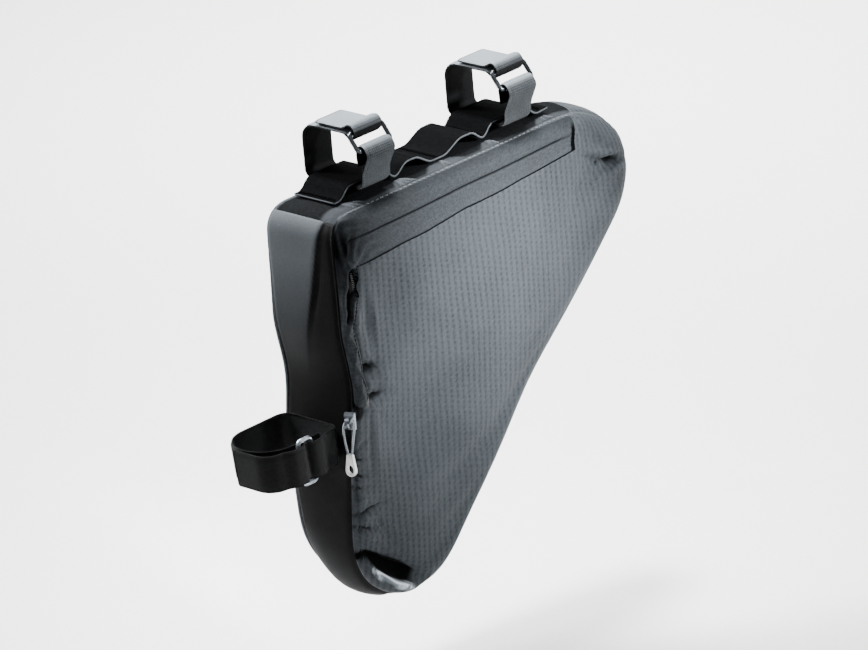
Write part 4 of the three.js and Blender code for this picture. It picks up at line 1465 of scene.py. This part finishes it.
def make_tape():
    x, z = tape_line()
    across = np.linspace(-TAPE_HALF_Y, TAPE_HALF_Y, 17)
    places = np.broadcast_arrays(x[:, None], across[None, :], z[:, None])
    points = np.stack(places, -1).reshape(-1, 3)
    faces = turned_out(points, grid_faces(len(x), len(across)), (0.0, 0.0, 1.0))
    along = distances(np.stack([x, z], -1))
    uv = np.stack([np.repeat(along, len(across)), np.tile(across, len(x))], -1)
    piece = add_object("tape_band", points, faces, [TAPE, TAPE_EDGE], uv=uv)
    add_wall(piece, TAPE_THICK - 0.4, offset=0.0, rim=1)
    settle(piece, "tape_cloth", "top_tape")
    y = np.linspace(-TAPE_HALF_Y + TACK_END, TAPE_HALF_Y - TACK_END, TACK_POINTS)
    zigzag = np.where(np.arange(TACK_POINTS) % 2, TACK_HALF, -TACK_HALF)
    for i, tack in enumerate(TACKS):
        at = tack + zigzag
        path = np.stack([at, y, np.interp(at, x, z) + TAPE_THICK / 2 + 0.1], -1)
        settle(add_tubes(f"tape_tack_{i + 1}", [path], TACK_R, TAPE), "tape_cloth")


make_tape()


# Straps and rings.

STRAP_WIDE = 20.5
STRAP_THICK = 1.8
STRAP_STEP = 1.2
STRAP_X = 53.5
STRAP_Z = -17.2
SEAT_Z = -145
SEAT_LEAN = 0.094
BAR_R = 1.2
TURN_R = 2.7
STRAP_FAR_Y = 19
STRAP_TOP_Z = 11.4
RING_LOW = np.array([-22.2, 3.6])
RING_HIGH = np.array([-15.6, 12.3])
RING_UP = unit(RING_HIGH - RING_LOW)
RING_OUT = np.array([-RING_UP[1], RING_UP[0]])
RING_MID = (RING_LOW + RING_HIGH) / 2
RING_REACH = np.linalg.norm(RING_HIGH - RING_LOW) / 2
RING_HALF = STRAP_WIDE / 2 + BAR_R + 0.6
RING_FILLET = 2.4
RING_SIDES = 18


def beside(bar, up, out):
    return (*(bar + (RING_UP * up + RING_OUT * out) * TURN_R), TURN_R)


# Middle line of a top strap: Y, Z and fillet, from the sewn tab round the tube and back through
# the ring. Then the row of its turn-back.
TOP_STRAP = (
    (-18.9, -5, 0),
    beside(RING_LOW, 1, -1),
    beside(RING_LOW, 1, 1),
    (-26.4, 1.5, 4),
    (-21.3, -9, 8),
    (-20.5, STRAP_Z, 4.5),
    (STRAP_FAR_Y, STRAP_Z, 4),
    (STRAP_FAR_Y, STRAP_TOP_Z, 8),
    (-10.5, STRAP_TOP_Z, 3),
    beside(RING_HIGH, -1, -1),
    beside(RING_HIGH, -1, 1),
    (-15.3, 17, 2.5),
    (-9.5, STRAP_TOP_Z + 2.4, 4),
    (9, STRAP_TOP_Z + 2.4, 0),
)
TOP_TURN_BACK = 10
SEAT_RING_Y = -20.4
SEAT_RING_FRONT_X = -115.5
SEAT_RING_REAR_X = -124.5
SEAT_FRONT_X = -95.6
# Middle line of the seat strap: X, Y and fillet. Then the row of its turn-back.
SEAT_STRAP = (
    (-107, -17.7, 0),
    (-118.2, -17.7, 2.7),
    (-118.2, -23.1, 2.7),
    (-111, -23.1, 5),
    (-105, -20, 5),
    (SEAT_FRONT_X, -20, 5),
    (SEAT_FRONT_X, 17.9, 6),
    (-143.9, 17.9, 17.9),
    (-143.9, -17.7, 17.6),
    (-121.8, -17.7, 2.7),
    (-121.8, -23.1, 2.7),
    (-131, -23.1, 5),
    (-136, -20.1, 5),
    (-146.1, -20.1, 9.1),
    (-146.1, 4, 0),
)
SEAT_TURN_BACK = 10


def band_line(rows, turn_back):
    """A strap's middle line at even steps, and the distance along it of its turn-back."""
    places = np.array([row[:2] for row in rows], dtype=float)
    points, marks = [places[0]], [0]
    for i in range(1, len(rows) - 1):
        back, on = unit(places[i - 1] - places[i]), unit(places[i + 1] - places[i])
        turn = math.pi - math.acos(np.clip(back @ on, -1, 1))
        steps = max(3, math.ceil(turn / 0.12))
        points += list(fillet(*places[i - 1 : i + 2], rows[i][2], steps))
        marks.append(len(points) - steps // 2)
    points = np.array([*points, places[-1]])
    along = distances(points)
    even = np.linspace(0, along[-1], int(along[-1] / STRAP_STEP))
    return on_line(even, along, points), even, along[marks[turn_back]]


def make_strap(name, node, rows, turn_back, place, materials, slot):
    """A strap: pile on its outer face, hooks on its inner face and along its edges."""
    line, along, back_at = band_line(rows, turn_back)
    across = np.linspace(-STRAP_WIDE / 2, STRAP_WIDE / 2, 13)
    ahead = unit(np.gradient(line, axis=0))
    outer = np.stack([ahead[:, 1], -ahead[:, 0]], -1)
    crown = np.sqrt(np.clip(1 - (across / (STRAP_WIDE / 2)) ** 16, 0.12, 1)) * STRAP_THICK / 2
    layers = []
    for side in (1, -1):
        moved = line[:, None, :] + side * outer[:, None, :] * crown[None, :, None]
        over = np.broadcast_to(across[None, :], moved.shape[:2])
        layers.append(place(moved[..., 0], moved[..., 1], over).reshape(-1, 3))
    points = np.vstack(layers)
    shape = (len(line), len(across))
    count = len(layers[0])
    front = grid_faces(*shape)
    edge = np.arange(count).reshape(shape)
    rims = []
    for a in (edge[:, 0][::-1], edge[:, -1], edge[0], edge[-1][::-1]):
        rims.append(np.stack([a[:-1], a[:-1] + count, a[1:] + count, a[1:]], -1))
    faces = np.vstack([front, front[:, ::-1] + count, *rims])
    out = layers[0] - layers[1]
    faces = turned_out(points, faces, np.vstack([out, -out]))
    returned = np.repeat(along[:-1] > back_at, shape[1] - 1).astype(int)
    slots = np.concatenate([returned, 1 - returned, np.ones(len(faces) - 2 * len(front))])
    uv = np.stack([np.repeat(along, shape[1]), np.tile(across, shape[0])], -1)
    # Painted highlight on the strap's upward faces, where the light from above falls.
    wear_and_painted_top_light = clamped((vertex_normals(points, faces)[:, 2] - 0.55) / 0.35)
    marks = {"crest": wear_and_painted_top_light}
    piece = add_object(name, points, faces, materials, np.tile(uv, (2, 1)), marks, slots)
    settle(piece, slot, node)


def lean(x, y, z):
    """The seat strap leans with the seat tube, apart from its front."""
    share = clamped((SEAT_FRONT_X - x - 2) / 14)
    share = share * share * (3 - 2 * share)
    return np.stack([x - SEAT_LEAN * share * z, y, SEAT_Z + z], -1)


def make_ring(name, node, low, high, place, material):
    box = [(-RING_HALF, low), (RING_HALF, low), (RING_HALF, high), (-RING_HALF, high)]
    bends = [fillet(box[i - 1], box[i], box[(i + 1) % 4], RING_FILLET, 8) for i in range(4)]
    path = place(*np.vstack(bends).T)
    points = tube_points(path, BAR_R, RING_SIDES, closed=True)
    faces = np.array(tube_faces(len(path), RING_SIDES, closed=True))
    faces = turned_out(points, faces, points - np.repeat(path, RING_SIDES, axis=0))
    settle(add_object(name, points, faces, [material]), "ring_metal", node)


for end, x in (("rear", -STRAP_X), ("front", STRAP_X)):

    def top_place(y, z, across, x=x):
        return np.stack([x + across, y, z], -1)

    def ring_place(a, b, x=x):
        across = RING_MID[None, :] + np.outer(b, RING_UP)
        return np.stack([x + a, across[:, 0], across[:, 1]], -1)

    pile = [PILES[end], HOOKS]
    make_strap(
        f"top_strap_{end}", f"strap_top_{end}", TOP_STRAP, TOP_TURN_BACK, top_place, pile, "hook_webbing"
    )
    make_ring(f"top_ring_{end}", f"ring_top_{end}", -RING_REACH, RING_REACH, ring_place, RING)


def seat_ring_place(a, b):
    return lean(b, np.full_like(b, SEAT_RING_Y), a)


webs = [SEAT_WEB, SEAT_WEB]
make_strap("seat_strap", "strap_seat", SEAT_STRAP, SEAT_TURN_BACK, lean, webs, "seat_webbing")
make_ring("seat_ring", "ring_seat", SEAT_RING_REAR_X, SEAT_RING_FRONT_X, seat_ring_place, SEAT_RING)


# Seam stitches.

STITCH_PHASE = 0.22
STITCH_LONG = 2.2
STITCH_GAP = 1.3
STITCH_R = 0.24
STITCH_ARCH = np.array([-0.6, 0.35, 0.6, 0.35, -0.6]) * STITCH_R


def make_stitches():
    """Separate stitches along the top seam, each arched over the cloth."""
    s = np.arange(top_start + 2, AROUND - 2, 1.0)
    seam = panel_points(s, STITCH_PHASE, 0.1)
    out = unit(panel_points(s, STITCH_PHASE, 1.1) - seam)
    along = distances(seam)
    shares = np.linspace(0, 1, len(STITCH_ARCH))
    paths = []
    for start in np.arange(STITCH_GAP, along[-1] - STITCH_LONG, STITCH_LONG + STITCH_GAP):
        at = start + shares * STITCH_LONG
        paths.append(on_line(at, along, seam) + on_line(at, along, out) * STITCH_ARCH[:, None])
    settle(add_tubes("top_seam_stitches", paths, STITCH_R, THREAD), "ripstop")


make_stitches()


# Floor and light.

FLOOR_Z = -0.300
bpy.ops.mesh.primitive_plane_add(size=14.0, location=(0, 0, FLOOR_Z))
floor = bpy.context.object
floor.name = "floor"
floor.data.materials.append(FLOOR)


def aim(data, place, at):
    light = add_data(data.name, data)
    light.location = place
    light.rotation_mode = "QUATERNION"
    light.rotation_quaternion = (Vector(at) - Vector(place)).to_track_quat("-Z", "Y")


def area_light(name, place, at, size, power, spread):
    data = bpy.data.lights.new(name, "AREA")
    data.shape = "RECTANGLE"
    data.size, data.size_y = size
    data.energy = power
    data.spread = math.radians(spread)
    aim(data, place, at)


def spot_light(name, place, at, cone, power, soft):
    data = bpy.data.lights.new(name, "SPOT")
    data.energy = power
    data.spot_size = math.radians(cone)
    data.spot_blend = 1.0
    data.shadow_soft_size = soft
    aim(data, place, at)


spot_light("key", (0.22, -0.55, 0.22), (0.027, -0.03, -0.075), 20, 165, 0.05)
area_light("top", (0.1, 0.25, 2.0), (0, 0.04, 0), (0.4, 0.4), 4.5, 24)
area_light("back", (-0.7, 1.4, 1.2), (-0.04, 0, -0.02), (0.5, 0.5), 14, 50)
area_light("edge", (0.45, -0.30, -0.20), (0.02, -0.02, -0.13), (0.25, 0.2), 0.36, 60)
area_light("floor_glow", (0.72, 0.75, 1.7), (0.72, 0.55, -0.3), (0.7, 0.7), 52, 64)

world = bpy.data.worlds.new("studio")
bpy.context.scene.world = world
world.use_nodes = True
background = world.node_tree.nodes["Background"]
background.inputs[0].default_value = (1.0, 1.0, 1.0, 1.0)
background.inputs[1].default_value = 0.55
